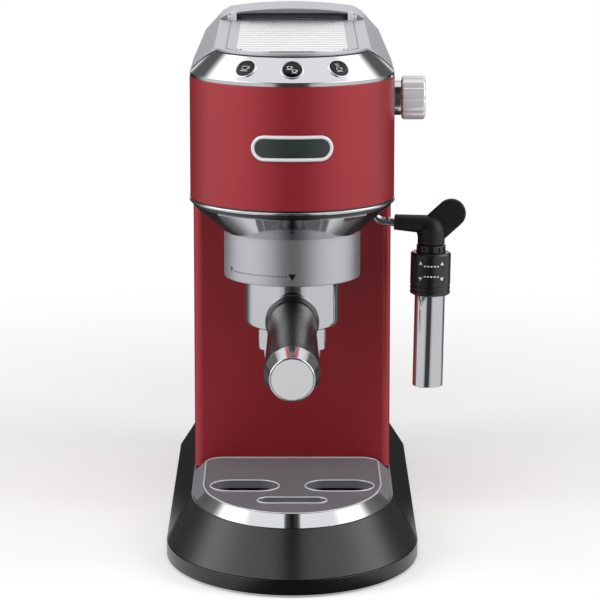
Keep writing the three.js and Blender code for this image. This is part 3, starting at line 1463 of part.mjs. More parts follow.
function makeWand() {
  const socketTop = headBottom + socketFlange;
  add("wand_socket", turned([
    [wandTubeRadius + slideGap, socketBottom],
    [socketRadius - socketEdge, socketBottom],
    [socketRadius, socketBottom + socketEdge],
    [socketRadius, headBottom],
    [socketRadius + socketBossWall - slideGap, headBottom],
    [socketRadius + socketBossWall - slideGap, socketTop],
    [wandTubeRadius + slideGap, socketTop],
  ], midRound), chrome).position.set(pivotX, pivotY, 0);

  // The tube comes straight down out of its socket, bends and runs out to the elbow.
  const armStart = new THREE.Vector3(wandBendRadius, 0, wandBendZ);
  const armEnd = new THREE.Vector3(wandX - pivotX, 0, wandBendZ - bootDrop);
  const armRun = armEnd.clone().sub(armStart).normalize();
  const tubeTop = new THREE.Vector3(0, 0, headBottom);
  const bendTop = new THREE.Vector3(0, 0, wandBendZ + wandBendRadius);
  const tubeEnd = armEnd.clone().addScaledVector(armRun, -elbowRadius * elbowFill);
  const route = new THREE.CurvePath();
  route.add(new THREE.LineCurve3(tubeTop, bendTop));
  route.add(new THREE.QuadraticBezierCurve3(bendTop, new THREE.Vector3(0, 0, wandBendZ), armStart));
  route.add(new THREE.LineCurve3(armStart, tubeEnd));
  const section = new THREE.Shape().absarc(0, 0, wandTubeRadius, 0, 2 * Math.PI, false);
  const tube = new THREE.ExtrudeGeometry(section, { steps: 12, curveSegments: 5, extrudePath: route });
  add("wand_tube", tube, chrome, wand);

  const bootLocalX = bootStartX - pivotX;
  const bootStart = armStart.clone().addScaledVector(armRun, (bootLocalX - armStart.x) / armRun.x);
  const bootLength = bootStart.distanceTo(armEnd);
  const aimed = new THREE.Group();
  aimed.position.copy(bootStart);
  aimed.quaternion.setFromUnitVectors(new THREE.Vector3(0, 0, 1), armRun);
  aimed.updateMatrix();
  const boot = turned([
    [0, 0],
    [bootStartRadius - bootEdge, 0],
    [bootStartRadius, bootEdge],
    [bootEndRadius, bootLength],
    [0, bootLength],
  ], midRound).applyMatrix4(aimed.matrix);
  const tubeRoom = rod(wandTubeRadius + slideGap, -beyond, bootLength - elbowRadius * elbowFill + slideGap);
  tubeRoom.applyMatrix4(aimed.matrix);
  const elbowX = wandX - pivotX;
  const fullBall = new THREE.SphereGeometry(elbowRadius, midRound, smallRound / 2 + 1);
  fullBall.rotateX(Math.PI / 2).scale(1, 1, elbowCrown).translate(elbowX, 0, elbowZ);
  const ball = common(fullBall, rod(elbowRadius + 1, elbowZ - 0.5, elbowZ + beyond).translate(elbowX, 0, 0));
  const neck = rod(elbowRadius, elbowBottom + slideGap, elbowZ, midRound).translate(elbowX, 0, 0);
  const tabShape = slot(
    new THREE.Vector2(tabX - wandX, tabZ - elbowZ).length() / 2 + tabRadius, tabRadius);
  const tab = prismAlongY(tabShape, -tabThickness / 2, tabThickness / 2, 6);
  tab.rotateY(-Math.atan2(tabZ - elbowZ, tabX - wandX));
  tab.translate((tabX + wandX) / 2 - pivotX, 0, (tabZ + elbowZ) / 2);
  const underElbow = block(
    elbowX - tabRadius * 2, elbowX + tabRadius * 2, -tabRadius, tabRadius,
    elbowBottom - beyond, elbowBottom + slideGap);
  add("wand_elbow", cut(join(boot, ball, neck, tab), tubeRoom, underElbow), blackRubber, wand);

  // Everything below the elbow leans with the frother's own axis, whose zero is the elbow's foot.
  const below = (z) => z - elbowBottom;
  const ringTop = 0;
  const ringBottom = below(collarTop);
  const notches = [];
  for (let i = 0; i < coreNotches; i += 1) {
    const angle = (i / coreNotches) * 2 * Math.PI;
    const notch = block(
      coreRingRadius - notchDepth, coreRingRadius + 1, -notchWidth / 2, notchWidth / 2,
      ringBottom + notchLowMargin, ringTop - notchHighMargin);
    notches.push(notch.rotateZ(angle));
  }
  const core = turned([
    [0, below(collarBottom) + 1],
    [coreShaftRadius, below(collarBottom) + 1],
    [coreShaftRadius, ringBottom],
    [coreRingRadius, ringBottom],
    [coreRingRadius, ringTop],
    [0, ringTop],
  ], midRound);
  add("frother_core", cut(core, ...notches), blackPlastic, frotherGroup);

  const collarBore = coreRingRadius + slideGap;
  add("frother_collar", turned([
    [coreShaftRadius + slideGap, below(collarBottom)],
    [collarRadius - collarEdge, below(collarBottom)],
    [collarRadius, below(collarBottom) + collarEdge],
    [collarRadius, below(collarTop) - collarEdge],
    [collarRadius - collarEdge, below(collarTop)],
    [collarBore, below(collarTop)],
    [collarBore, below(collarBottom) + collarStep],
    [coreShaftRadius + slideGap, below(collarBottom) + collarStep],
  ], midRound), blackPlastic, frotherGroup);

  const sleeveTop = below(collarBottom) - slideGap;
  add("frother_sleeve", turned([
    [frotherRadius - frotherSheet, below(frotherBottom)],
    [frotherRadius, below(frotherBottom)],
    [frotherRadius, sleeveTop],
    [coreShaftRadius, sleeveTop],
    [coreShaftRadius, sleeveTop - sleeveShelf],
    [frotherRadius - frotherSheet, sleeveTop - sleeveShelf],
  ], midRound), chrome, frotherGroup);

  const nozzle = rod(nozzleTipRadius, below(nozzleTipZ), below(collarBottom) + 1 - slideGap);
  add("steam_nozzle", nozzle, satinSteel, frotherGroup).position.set(-nozzleOffset, 0, 0);
}

// ---- Water tank -------------------------------------------------------------------------

const hingeAxisZ = coverTop + seatGap; // the lid turns about its lower rear edge

function makeTank() {
  const lowZ = bayFloorZ + seatGap;
  const halfDepth = (rearY - tankFrontY) / 2;
  const middleY = tankFrontY + halfDepth;
  const outer = prism(roundedRectangle(tankHalfWidth, halfDepth, tankCornerRadius, 0, middleY), lowZ, coverTop, 4);
  const inner = prism(
    roundedRectangle(tankHalfWidth - tankWall, halfDepth - tankWall, tankCornerRadius - tankWall, 0, middleY),
    lowZ + tankWall, coverTop + 1, 4);
  const outletHole = rod(outletRadius + seatGap, lowZ - 1, lowZ + tankWall + 1).translate(0, outletY, 0);
  const tankKnuckles = [];
  const lidRooms = [];
  const lidKnuckles = [];
  const tankRooms = [];
  for (const side of [-1, 1]) {
    const middle = side * hingeX;
    const [near, far] = [knuckleHalfLength + slideGap, knuckleHalfLength + slideGap + outerKnuckleLength];
    for (const end of [-1, 1]) {
      const [lowX, highX] = end < 0 ? [middle - far, middle - near] : [middle + near, middle + far];
      tankKnuckles.push(crossRod(hingeRadius, lowX, highX, rearY, hingeAxisZ));
      lidRooms.push(crossRod(hingeRadius + slideGap, lowX - slideGap, highX + slideGap, rearY, hingeAxisZ));
    }
    lidKnuckles.push(
      crossRod(hingeRadius, middle - knuckleHalfLength, middle + knuckleHalfLength, rearY, hingeAxisZ));
    tankRooms.push(crossRod(hingeRadius + slideGap, middle - near, middle + near, rearY, hingeAxisZ));
  }
  add("water_tank", join(cut(outer, inner, outletHole, ...tankRooms), ...tankKnuckles), smokedPlastic);

  const valveLow = hoseZ;
  const flangeZ = lowZ + tankWall + seatGap;
  add("tank_valve", turned([
    [0, valveLow],
    [outletRadius - outletEdge, valveLow],
    [outletRadius, valveLow + outletEdge],
    [outletRadius, flangeZ],
    [outletRadius + valveFlange, flangeZ],
    [outletRadius + valveFlange, flangeZ + valveFlangeHeight],
    [0, flangeZ + valveFlangeHeight],
  ], smallRound), blackPlastic).position.set(0, outletY, 0);

  const seatLow = hoseZ - hoseRadius;
  add("tank_seat", turned([
    [0, seatLow + seatGap],
    [seatRadius, seatLow + seatGap],
    [seatRadius, bayFloorZ - seatGap],
    [outletRadius + slideGap, bayFloorZ - seatGap],
    [outletRadius + slideGap, valveLow - slideGap],
    [0, valveLow - slideGap],
  ], smallRound), blackRubber).position.set(0, outletY, 0);

  // The lid: a shallow dome across, a flat underside and a rim that drops into the tank.
  const standZ = hingeAxisZ;
  const outX = tankHalfWidth + lidOverhang;
  const dome = new THREE.Shape();
  dome.moveTo(-outX, standZ);
  dome.lineTo(outX, standZ);
  dome.lineTo(outX, standZ + lidLip);
  dome.lineTo(lidEdgeX, lidEdgeZ);
  dome.quadraticCurveTo(0, lidEdgeZ + lidCrown * 2, -lidEdgeX, lidEdgeZ);
  dome.lineTo(-outX, standZ + lidLip);
  const lidBody = prismAlongY(dome, tankFrontY + seatGap, rearY, 10);
  const rimInset = tankWall + slideGap;
  const rim = prism(
    roundedRectangle(tankHalfWidth - rimInset, halfDepth - rimInset, tankCornerRadius - tankWall, 0, middleY),
    coverTop - lidRimDepth, standZ + lidRoom, 4);
  const rimRoom = prism(
    roundedRectangle(
      tankHalfWidth - rimInset - lidSheet, halfDepth - rimInset - lidSheet,
      tankCornerRadius - tankWall - 1, 0, middleY),
    coverTop - lidRimDepth - 1, standZ + lidRoom, 4);
  add("tank_lid", join(cut(join(lidBody, rim), rimRoom, ...lidRooms), ...lidKnuckles), silverPaint);
}

// ---- Works inside -----------------------------------------------------------------------

function makeWorks() {
  const midX = blockHalfWidth;
  const plan = roundedRectangle(
    midX, (blockRearY - blockFrontY) / 2, blockCorner, 0, (blockRearY + blockFrontY) / 2);
  const heater = join(
    prism(plan, blockBottom, blockTop, 2),
    atGroup(rod(blockNeckRadius, groupTop, blockBottom + 1, midRound)));
  const screwRoom = atGroup(rod(waterHoleRadius, groupTop - 1, groupCeiling + screwReach + bowlDepth));
  add("thermoblock", cut(heater, screwRoom), castAluminium);

  const valveLow = blockTop + seatGap;
  const valveBody = prismAlongX(
    roundedRectangle(valveHalfSize, (knobZ + valveHalfSize - valveLow) / 2, valveCorner,
      knobY, (knobZ + valveHalfSize + valveLow) / 2),
    valveInnerX, valveOuterX, 2);
  const stemRoom = crossRod(stemRadius + slideGap, stemInnerX - slideGap, valveOuterX + beyond, knobY, knobZ);
  add("steam_valve", cut(valveBody, stemRoom), brassMetal);

  const pipe = rod(wandTubeRadius, headBottom + socketFlange + seatGap, valveLow - seatGap);
  add("steam_pipe", pipe, brassMetal).position.set(pivotX, pivotY, 0);

  const coil = block(
    -coilHalfWidth, coilHalfWidth, pumpY - coilHalfDepth, pumpY + coilHalfDepth, pumpBottom, pumpBottom + coilHeight);
  const barrel = rod(pumpRadius, pumpTubeLow, pumpTubeHigh).translate(0, pumpY, 0);
  const spigots = rod(spigotRadius, pumpTubeLow - spigotLength, pumpTubeHigh + spigotLength);
  add("pump", join(coil, barrel, spigots.translate(0, pumpY, 0)), satinSteel);

  const mountHigh = pumpBottom - seatGap;
  const slab = block(
    -coilHalfWidth, coilHalfWidth, pumpY - coilHalfDepth, pumpY + coilHalfDepth,
    worksFloorZ + seatGap, worksFloorZ + mountSlab);
  const posts = [-1, 1].map((side) => {
    const [lowX, highX] = side < 0 ? [-coilHalfWidth, mountPost - coilHalfWidth] : [coilHalfWidth - mountPost, coilHalfWidth];
    return block(lowX, highX, pumpY - coilHalfDepth, pumpY + coilHalfDepth, worksFloorZ + 1, mountHigh);
  });
  const wayHalfWidth = hoseRadius + hoseRoom * 1.5;
  const hoseWay = block(
    -wayHalfWidth, wayHalfWidth, pumpY - wayHalfWidth, pumpY + coilHalfDepth + 1, worksFloorZ, worksFloorZ + mountSlab + 1);
  add("pump_mount", cut(join(slab, ...posts), hoseWay), blackRubber);

  const hose = (points) => {
    const route = new THREE.CatmullRomCurve3(points.map(([x, y, z]) => new THREE.Vector3(x, y, z)), false, "centripetal");
    const ring = new THREE.Shape().absarc(0, 0, hoseRadius, 0, 2 * Math.PI, false);
    return new THREE.ExtrudeGeometry(ring, { steps: 10, curveSegments: 4, extrudePath: route });
  };
  const spigotLow = pumpTubeLow - spigotLength - slideGap;
  const seatFrontY = outletY - seatRadius - slideGap * 1.5;
  add("suction_hose", hose([
    [0, seatFrontY, hoseZ],
    [0, seatFrontY - 16, hoseZ],
    [0, pumpY + 16, hoseZ],
    [0, pumpY + 3, hoseZ + 2],
    [0, pumpY, spigotLow - 5],
    [0, pumpY, spigotLow],
  ]), clearHose);
  const spigotHigh = pumpTubeHigh + spigotLength + slideGap;
  const entryZ = (blockBottom + blockTop) / 2;
  add("pressure_hose", hose([
    [0, pumpY, spigotHigh],
    [0, pumpY, (spigotHigh + entryZ) / 2 - hoseRadius * 2],
    [0, pumpY - 14, entryZ - 16],
    [0, blockRearY + 22, entryZ],
    [0, blockRearY + slideGap, entryZ],
  ]), clearHose);
}

makeBase();
makeDripTray();
makeBody();
makeChassis();
makeTopCover();
makeWarmer();
makeRail();
makeControls();
makeBadge();
makeHeadUnderside();
makeBrewingGroup();
makePortafilter();
makeSteamKnob();
makeWand();
makeTank();
makeWorks();

// The origin is the middle of the machine's footprint box, on the counter.
const bounds = new THREE.Box3().setFromObject(machine);
const middle = bounds.getCenter(new THREE.Vector3());
machine.position.set(-middle.x, -middle.y, -bounds.min.z);

export default machine;
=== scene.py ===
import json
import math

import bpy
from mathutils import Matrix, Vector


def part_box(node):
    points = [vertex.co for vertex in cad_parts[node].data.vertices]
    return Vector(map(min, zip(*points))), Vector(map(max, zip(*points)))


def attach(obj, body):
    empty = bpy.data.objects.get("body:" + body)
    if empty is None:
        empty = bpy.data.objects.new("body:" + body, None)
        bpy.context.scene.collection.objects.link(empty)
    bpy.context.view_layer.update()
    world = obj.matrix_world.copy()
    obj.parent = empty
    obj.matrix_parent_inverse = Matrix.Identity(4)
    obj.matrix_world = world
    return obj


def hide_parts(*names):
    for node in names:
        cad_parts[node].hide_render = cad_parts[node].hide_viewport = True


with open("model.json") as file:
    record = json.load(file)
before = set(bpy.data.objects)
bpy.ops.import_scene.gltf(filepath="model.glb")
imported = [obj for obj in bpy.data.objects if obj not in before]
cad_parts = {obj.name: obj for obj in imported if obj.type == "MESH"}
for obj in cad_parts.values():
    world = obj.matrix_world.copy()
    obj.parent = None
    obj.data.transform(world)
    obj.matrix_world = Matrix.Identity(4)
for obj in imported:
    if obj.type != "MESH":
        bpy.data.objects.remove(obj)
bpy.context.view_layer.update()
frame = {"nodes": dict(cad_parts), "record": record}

# %% [markdown]
# # A slim espresso machine
#
# The frame is the machine's construction at its real size: every shell, shaft and joint.
# This lesson dresses it. Shapes that the eye follows closely, such as plated metal and painted
# sheet, are modelled again with fine surfaces in the same places, and the works inside stay as
# they are. Lengths are written in millimetres, as on a drawing, and turned to metres in one place.
# Pieces that touch are drawn a twentieth of a millimetre apart, so that their skins never mix.

MM = 0.001
GAP = 0.05
record = frame["record"]
joint_place = {joint["name"]: joint.get("pos_m") for joint in record["behaviour"]["joints"]}
group_axis = Vector(joint_place["portafilter_turn"])


def at(x, y, z):
    """A place: x from the middle plane, y behind the brewing group's axis, z above the counter."""
    return Vector((group_axis.x + x * MM, group_axis.y + y * MM, z * MM))


# %% [markdown]
# ## The camera
#
# A long lens, a little above the machine and looking down by about eleven degrees, keeps the
# uprights nearly parallel and shows the top, the front and the tray at once. It looks straight
# along the middle plane, and a small sideways shift takes in the wand.

# %% Camera
camera_data = bpy.data.cameras.new("camera")
camera_data.lens = 177
camera_data.sensor_width = 36
camera_data.shift_x = 0.013
camera = bpy.data.objects.new("camera", camera_data)
bpy.context.collection.objects.link(camera)
camera.location = at(0, -1733.7, 492.4)
camera.rotation_euler = (math.radians(90 - 11.3), 0, 0)
bpy.context.scene.camera = camera

# %% [markdown]
# ## Nodes
#
# Light and finishes are built from nodes. One small function adds a node, sets it and links it,
# so that each recipe below reads as a list of what goes into what.

# %% Nodes for light and finishes
def linear(hex_colour):
    """A colour as a paint chart writes it, turned to the renderer's linear light."""
    channels = [int(hex_colour[i:i + 2], 16) / 255 for i in (1, 3, 5)]
    return (*[c / 12.92 if c <= 0.04045 else ((c + 0.055) / 1.055) ** 2.4 for c in channels], 1.0)


def add_node(tree, kind, settings=None, links=None):
    """Adds a node, sets its properties, and sets its sockets or links them to other sockets."""
    node = tree.nodes.new(kind)
    for key, value in (settings or {}).items():
        setattr(node, key, value)
    for key, value in (links or {}).items():
        if isinstance(value, bpy.types.NodeSocket):
            tree.links.new(value, node.inputs[key])
        else:
            node.inputs[key].default_value = value
    return node


# %% [markdown]
# ## The studio
#
# Plated metal shows its surroundings more than itself. Photographers stand two big soft boxes at
# the sides, keep the front dark where the camera is, and light the top from above: upright metal
# then gets bright flanks with a dark line down its middle. Here sky and floor play that room in
# reflections, and area lamps give the plain light that colours are judged in.

# %% Brightness round the machine
def room_light(tree, direction, dark_to, light_from, sides, back):
    """How bright the room is in a direction: dark in front, brightest at both sides."""
    parts = add_node(tree, "ShaderNodeSeparateXYZ", links={"Vector": direction})
    aside = add_node(tree, "ShaderNodeMath", {"operation": "ABSOLUTE"}, {0: parts.outputs["X"]})
    ahead = add_node(tree, "ShaderNodeMath", {"operation": "MULTIPLY"}, {
        0: parts.outputs["Y"], 1: -1.0})
    angle = add_node(tree, "ShaderNodeMath", {"operation": "ARCTAN2"}, {
        0: aside.outputs[0], 1: ahead.outputs[0]})
    share = add_node(tree, "ShaderNodeMath", {"operation": "DIVIDE"}, {0: angle.outputs[0], 1: math.pi})
    ramp = add_node(tree, "ShaderNodeValToRGB", links={"Fac": share.outputs[0]})
    stops = ramp.color_ramp.elements
    stops[0].position, stops[0].color = 0.0, (0.07, 0.07, 0.07, 1)
    stops[1].position, stops[1].color = 1.0, (back, back, back, 1)
    for degrees, grey in ((dark_to, 0.07), (dark_to + 6, 0.14), (light_from, 0.75 * sides),
                          (light_from + 12, sides), (108, sides), (126, 0.25), (142, back)):
        stop = stops.new(degrees / 180)
        stop.color = (grey, grey, grey, 1)
    return ramp.outputs["Color"]


# %% Sky and lamps
scene = bpy.context.scene
scene.view_settings.view_transform = "Standard"
world = bpy.data.worlds.new("studio")
scene.world = world
world.use_nodes = True
sky = world.node_tree
sky.nodes.clear()
direction = add_node(sky, "ShaderNodeTexCoord").outputs["Generated"]
parts = add_node(sky, "ShaderNodeSeparateXYZ", links={"Vector": direction}).outputs
aside = add_node(sky, "ShaderNodeMath", {"operation": "ABSOLUTE"}, {0: parts["X"]}).outputs[0]
# Each share runs from 0 to 1 as a value goes from its start to its end
shares = {name: add_node(sky, "ShaderNodeMapRange", {"interpolation_type": "SMOOTHSTEP"}, {
    "Value": value, "From Min": min(start, end), "From Max": max(start, end),
    "To Min": float(start > end), "To Max": float(start < end)}).outputs["Result"]
    for name, value, start, end in (
        ("above", parts["Z"], 0.45, 0.65), ("to the front", parts["Y"], -0.1, -0.2),
        ("near the middle", aside, 0.6, 0.3), ("high behind", parts["Y"], 0.55, 0.97),
        ("at the sides", aside, 0.48, 0.62), ("behind", parts["Y"], 0.6, 0.85),
        ("right behind", aside, 0.36, 0.16), ("over the horizon", parts["Z"], -0.03, 0.05))}
products = {name: add_node(sky, "ShaderNodeMath", {"operation": "MULTIPLY"}, {
    0: shares[first], 1: shares[second]}).outputs[0]
    for name, first, second in (("high front", "to the front", "near the middle"),
                                ("back wall", "behind", "right behind"))}
dark_above = add_node(sky, "ShaderNodeMath", {"operation": "MAXIMUM"}, {
    0: products["high front"], 1: shares["high behind"]}).outputs[0]
low_behind = add_node(sky, "ShaderNodeMath", {"operation": "MULTIPLY"}, {
    0: products["back wall"], 1: shares["over the horizon"]}).outputs[0]
high_sides = add_node(sky, "ShaderNodeMix", {"data_type": "RGBA"}, {
    0: shares["at the sides"], 6: (1, 1, 1, 1), 7: (2.2, 2.2, 2.2, 1)})
overhead = add_node(sky, "ShaderNodeMix", {"data_type": "RGBA"}, {
    0: dark_above, 6: high_sides.outputs[2], 7: (0.03, 0.03, 0.03, 1)})
low_room = add_node(sky, "ShaderNodeMix", {"data_type": "RGBA"}, {
    0: low_behind, 6: room_light(sky, direction, 24, 48, 1.9, 0.12), 7: (1, 1, 1, 1)})
room = add_node(sky, "ShaderNodeMix", {"data_type": "RGBA"}, {
    0: shares["above"], 6: low_room.outputs[2], 7: overhead.outputs[2]})
paths = add_node(sky, "ShaderNodeLightPath")
mirrored = add_node(sky, "ShaderNodeBackground", links={"Color": room.outputs[2], "Strength": 1.0})
fill = add_node(sky, "ShaderNodeBackground", links={"Color": (1, 1, 1, 1), "Strength": 0.3})
backdrop = add_node(sky, "ShaderNodeBackground", links={"Color": (1, 1, 1, 1), "Strength": 1.0})
glossy_mix = add_node(sky, "ShaderNodeMixShader", links={
    0: paths.outputs["Is Glossy Ray"], 1: fill.outputs[0], 2: mirrored.outputs[0]})
seen = add_node(sky, "ShaderNodeMath", {"operation": "MAXIMUM"}, {
    0: paths.outputs["Is Camera Ray"], 1: paths.outputs["Is Transmission Ray"]})
sky_mix = add_node(sky, "ShaderNodeMixShader", links={
    0: seen.outputs[0], 1: glossy_mix.outputs[0], 2: backdrop.outputs[0]})
add_node(sky, "ShaderNodeOutputWorld", links={"Surface": sky_mix.outputs[0]})


def soft_box(name, place, width, height, watts):
    """A rectangular lamp that looks at the machine."""
    lamp_data = bpy.data.lights.new(name, "AREA")
    lamp_data.shape = "RECTANGLE"
    lamp_data.size, lamp_data.size_y = width, height
    lamp_data.energy = watts
    lamp = bpy.data.objects.new(name, lamp_data)
    bpy.context.collection.objects.link(lamp)
    lamp.location = place
    lamp.rotation_euler = (Vector((0, 0, 0.15)) - Vector(place)).to_track_quat("-Z", "Y").to_euler()
    lamp.visible_glossy = False


for name, across in (("box_left", -1.45), ("box_right", 1.45)):
    soft_box(name, (across, -0.5, 0.75), 0.7, 1.3, 15)
soft_box("box_over", (0, -1.0, 1.25), 1.2, 0.8, 9)

# %% [markdown]
# ## The floor
#
# A sheet of white paper. Near the machine it is lit and catches the shadow, and further out it
# turns into an even white backdrop, as an overlit studio sweep does. Metal mirrors that sweep
# with the same dark front as the sky.

# %% Floor
bpy.ops.object.select_all(action="DESELECT")
bpy.ops.mesh.primitive_plane_add(size=40, location=(0, 0, 0))
floor = bpy.context.object
floor.name = "floor"
paper = bpy.data.materials.new("white_paper_sweep")
paper.use_nodes = True
tree = paper.node_tree
tree.nodes.clear()
place = add_node(tree, "ShaderNodeTexCoord").outputs["Object"]
distance = add_node(tree, "ShaderNodeVectorMath", {"operation": "LENGTH"}, {0: place})
far = add_node(tree, "ShaderNodeMapRange", {"interpolation_type": "SMOOTHSTEP"}, {
    "Value": distance.outputs["Value"], "From Min": 0.25, "From Max": 0.8})
paths = add_node(tree, "ShaderNodeLightPath")
matt = add_node(tree, "ShaderNodeBsdfDiffuse", links={"Color": linear("#d8d8d8")})
glow = add_node(tree, "ShaderNodeEmission", links={"Color": (1, 1, 1, 1), "Strength": 0.35})
near = add_node(tree, "ShaderNodeAddShader", links={0: matt.outputs[0], 1: glow.outputs[0]})
white = add_node(tree, "ShaderNodeEmission", links={"Color": (1, 1, 1, 1), "Strength": 1.0})
sweep = add_node(tree, "ShaderNodeMixShader", links={
    0: far.outputs["Result"], 1: near.outputs[0], 2: white.outputs[0]})
mirrored = add_node(tree, "ShaderNodeEmission", links={
    "Color": room_light(tree, place, 10, 22, 1.0, 0.04), "Strength": 0.72})
seen = add_node(tree, "ShaderNodeMixShader", links={
    0: paths.outputs["Is Glossy Ray"], 1: sweep.outputs[0], 2: mirrored.outputs[0]})
add_node(tree, "ShaderNodeOutputMaterial", links={"Surface": seen.outputs[0]})
floor.data.materials.append(paper)

# %% [markdown]
# ## Finishes
#
# Each one starts from what the real surface is and how it was made. A broad cloud moves its colour
# a shade, as uneven light and handling do, and a fine grain sets its gloss and relief. Patterns
# are sized in millimetres and read Object coordinates, so they stay put when a part moves. A
# grain that is stretched along one axis becomes the scratches of brushing.

# %% The common recipe
finishes = {}


def new_finish(slot, name, light, dark, cloud, grain, relief, gloss, stretch=(1, 1, 1), more=None):
    """A Principled surface. cloud and grain are sizes in mm, relief a height in mm."""
    material = bpy.data.materials.new(name)
    material.use_nodes = True
    tree = material.node_tree
    tree.nodes.clear()
    place = add_node(tree, "ShaderNodeTexCoord").outputs["Object"]
    clouds = add_node(tree, "ShaderNodeTexNoise", links={"Vector": place, "Scale": 0.5 / (cloud * MM)})
    shades = add_node(tree, "ShaderNodeMix", {"data_type": "RGBA"}, {
        0: clouds.outputs["Fac"], 6: linear(light), 7: linear(dark)})
    drawn = add_node(tree, "ShaderNodeMapping", links={"Vector": place, "Scale": stretch})
    grains = add_node(tree, "ShaderNodeTexNoise", links={
        "Vector": drawn.outputs[0], "Scale": 0.5 / (grain * MM), "Detail": 3.0})
    glosses = add_node(tree, "ShaderNodeMapRange", links={
        "Value": grains.outputs["Fac"], "From Min": 0.3, "From Max": 0.7,
        "To Min": gloss[0], "To Max": gloss[1]})
    bump = add_node(tree, "ShaderNodeBump", links={
        "Height": grains.outputs["Fac"], "Distance": relief * MM})
    shader = add_node(tree, "ShaderNodeBsdfPrincipled", links={
        "Base Color": shades.outputs[2], "Roughness": glosses.outputs["Result"],
        "Normal": bump.outputs["Normal"], **(more or {})})
    add_node(tree, "ShaderNodeOutputMaterial", links={"Surface": shader.outputs[0]})
    finishes[slot] = material


# %% [markdown]
# **Stoved enamel on sheet steel** is sprayed and baked. A little metal flake under the red makes
# it glow where it mirrors a soft box. It dries with a faint orange peel about a millimetre across
# and a satin skin, so soft boxes spread into wide bands on it.

# %% Enamel
new_finish("red_paint", "stoved_red_enamel", "#991f29", "#911d27", 30, 1.2, 0.004, (0.35, 0.41),
           more={"Metallic": 0.42, "Specular IOR Level": 0.85})

# %% [markdown]
# **Moulded ABS and soft TPE.** The mould was spark-eroded, which leaves a fine pebbled skin. It is
# finer than a view of the whole machine can show, so it is drawn a third of a millimetre across.
# The buttons come from a polished mould and stay glossy. The tank is smoked clear plastic and
# the hoses are milky silicone, so both let part of the light through.

# %% Plastics and rubber
new_finish("black_plastic", "moulded_black_abs", "#09090b", "#060608", 20, 0.35, 0.005, (0.25, 0.32),
           more={"Specular IOR Level": 0.8})
new_finish("gloss_black", "polished_black_abs", "#060607", "#040405", 20, 2, 0.001, (0.06, 0.1),
           more={"Specular IOR Level": 0.35})
new_finish("black_rubber", "matt_black_tpe", "#0f0f10", "#0a0a0b", 6, 0.3, 0.012, (0.44, 0.55))
new_finish("smoked_plastic", "smoked_san_plastic", "#5a5e62", "#4c5054", 20, 6, 0.01, (0.1, 0.16),
           more={"Transmission Weight": 0.6, "IOR": 1.57})
new_finish("clear_hose", "clear_silicone_hose", "#dddeda", "#cfd0cb", 4, 2, 0.01, (0.3, 0.4),
           more={"Transmission Weight": 0.4, "IOR": 1.41})

# %% [markdown]
# ** Bright chrome** is plated over polished metal or ABS: a cool mirror with a trace of haze where
# it was wiped. A metal's colour is its reflection, and its IOR stays as it is. The rail's bar is
# chrome darkened to a smoky grey: painted shade for the dark surroundings it mirrors. The knob's
# plating over plastic is milkier, so part of it scatters light as lacquer does.

# %% Chrome
new_finish("chrome", "bright_chrome_plate", "#dedfe2", "#d6d7db", 25, 9, 0.002, (0.05, 0.1),
           more={"Metallic": 1.0})
# The rail bar's chrome has a darkened colour: painted shade for the dark it mirrors.
new_finish("dark_chrome", "chrome_darkened_as_painted_shade", "#66666b", "#5e5e62", 25, 9, 0.002, (0.08, 0.14),
           more={"Metallic": 1.0})
new_finish("knob_chrome", "hazed_chrome_plate", "#e6e6ea", "#dcdce1", 25, 9, 0.002, (0.1, 0.16),
           more={"Metallic": 0.45})

# %% [markdown]
# **Stainless steel.** The sleeve is brushed round its axis, so its scratches run level and spread
# every highlight up and down. The warmer plate is satin sheet, and its ribs are polished by the
# press. The cup plate is blasted dull and grey. Discs, rims and the rail's blocks are satin all
# over. Real scratches are a hundredth of a millimetre apart and are drawn at a fifth to a quarter
# of a millimetre here, to show at all.

# %% Steels
new_finish("brushed_steel", "brushed_stainless_steel", "#cacace", "#bcbcc1", 30, 0.2, 0.003, (0.4, 0.5),
           stretch=(0.04, 0.04, 1), more={"Metallic": 1.0})
new_finish("polished_steel", "blasted_stainless_tray", "#77777c", "#6e6e73", 30, 0.25, 0.004, (0.46, 0.56),
           stretch=(0.05, 1, 1), more={"Metallic": 0.15, "Specular IOR Level": 0.2})
new_finish("stamped_steel", "satin_steel_sheet", "#c2c2c7", "#b8b8be", 30, 0.3, 0.001, (0.3, 0.38),
           more={"Metallic": 0.8})
new_finish("bright_steel", "polished_steel_sheet", "#f4f4f6", "#eeeef1", 30, 3, 0.001, (0.16, 0.22),
           more={"Metallic": 0.85})
new_finish("satin_steel", "satin_stainless_disc", "#dededf", "#d4d4d8", 30, 0.25, 0.003, (0.4, 0.5),
           stretch=(0.05, 1, 1), more={"Metallic": 0.3})

# %% [markdown]
# **Silver lacquer on ABS** is painted with aluminium flake: brighter where it faces a light, with
# a fine sparkle and no sharp mirror image.

# %% Silver lacquer
new_finish("silver_paint", "silver_flake_lacquer", "#c6c6cc", "#bcbcc3", 25, 0.3, 0.004, (0.32, 0.42),
           more={"Metallic": 0.75})

# %% [markdown]
# **What lies inside.** Cast aluminium is grey and grainy from its mould, brass is yellow and
# turned, and the switch board is lacquered glass fibre. The badge's field is a dark anodised
# plate, brushed level.

# %% Inner finishes
new_finish("cast_aluminium", "die_cast_aluminium", "#a2a2a4", "#8e8e91", 8, 0.8, 0.03, (0.42, 0.55),
           more={"Metallic": 1.0})
new_finish("brass", "turned_brass", "#bb9c60", "#ab8c50", 6, 0.3, 0.005, (0.25, 0.35),
           stretch=(0.1, 1, 1), more={"Metallic": 1.0})
new_finish("board", "glass_fibre_board", "#33633e", "#295434", 2, 0.5, 0.01, (0.35, 0.45))
new_finish("badge", "dark_anodised_plate", "#414a48", "#363f3d", 12, 0.2, 0.002, (0.26, 0.36),
           stretch=(0.05, 1, 1), more={"Metallic": 0.6})

for row in record["subparts"]:
    node = frame["nodes"][row["node"]]
    node.data.materials.clear()
    node.data.materials.append(finishes[row["material_slot"]])
print("finishes:", len(finishes))

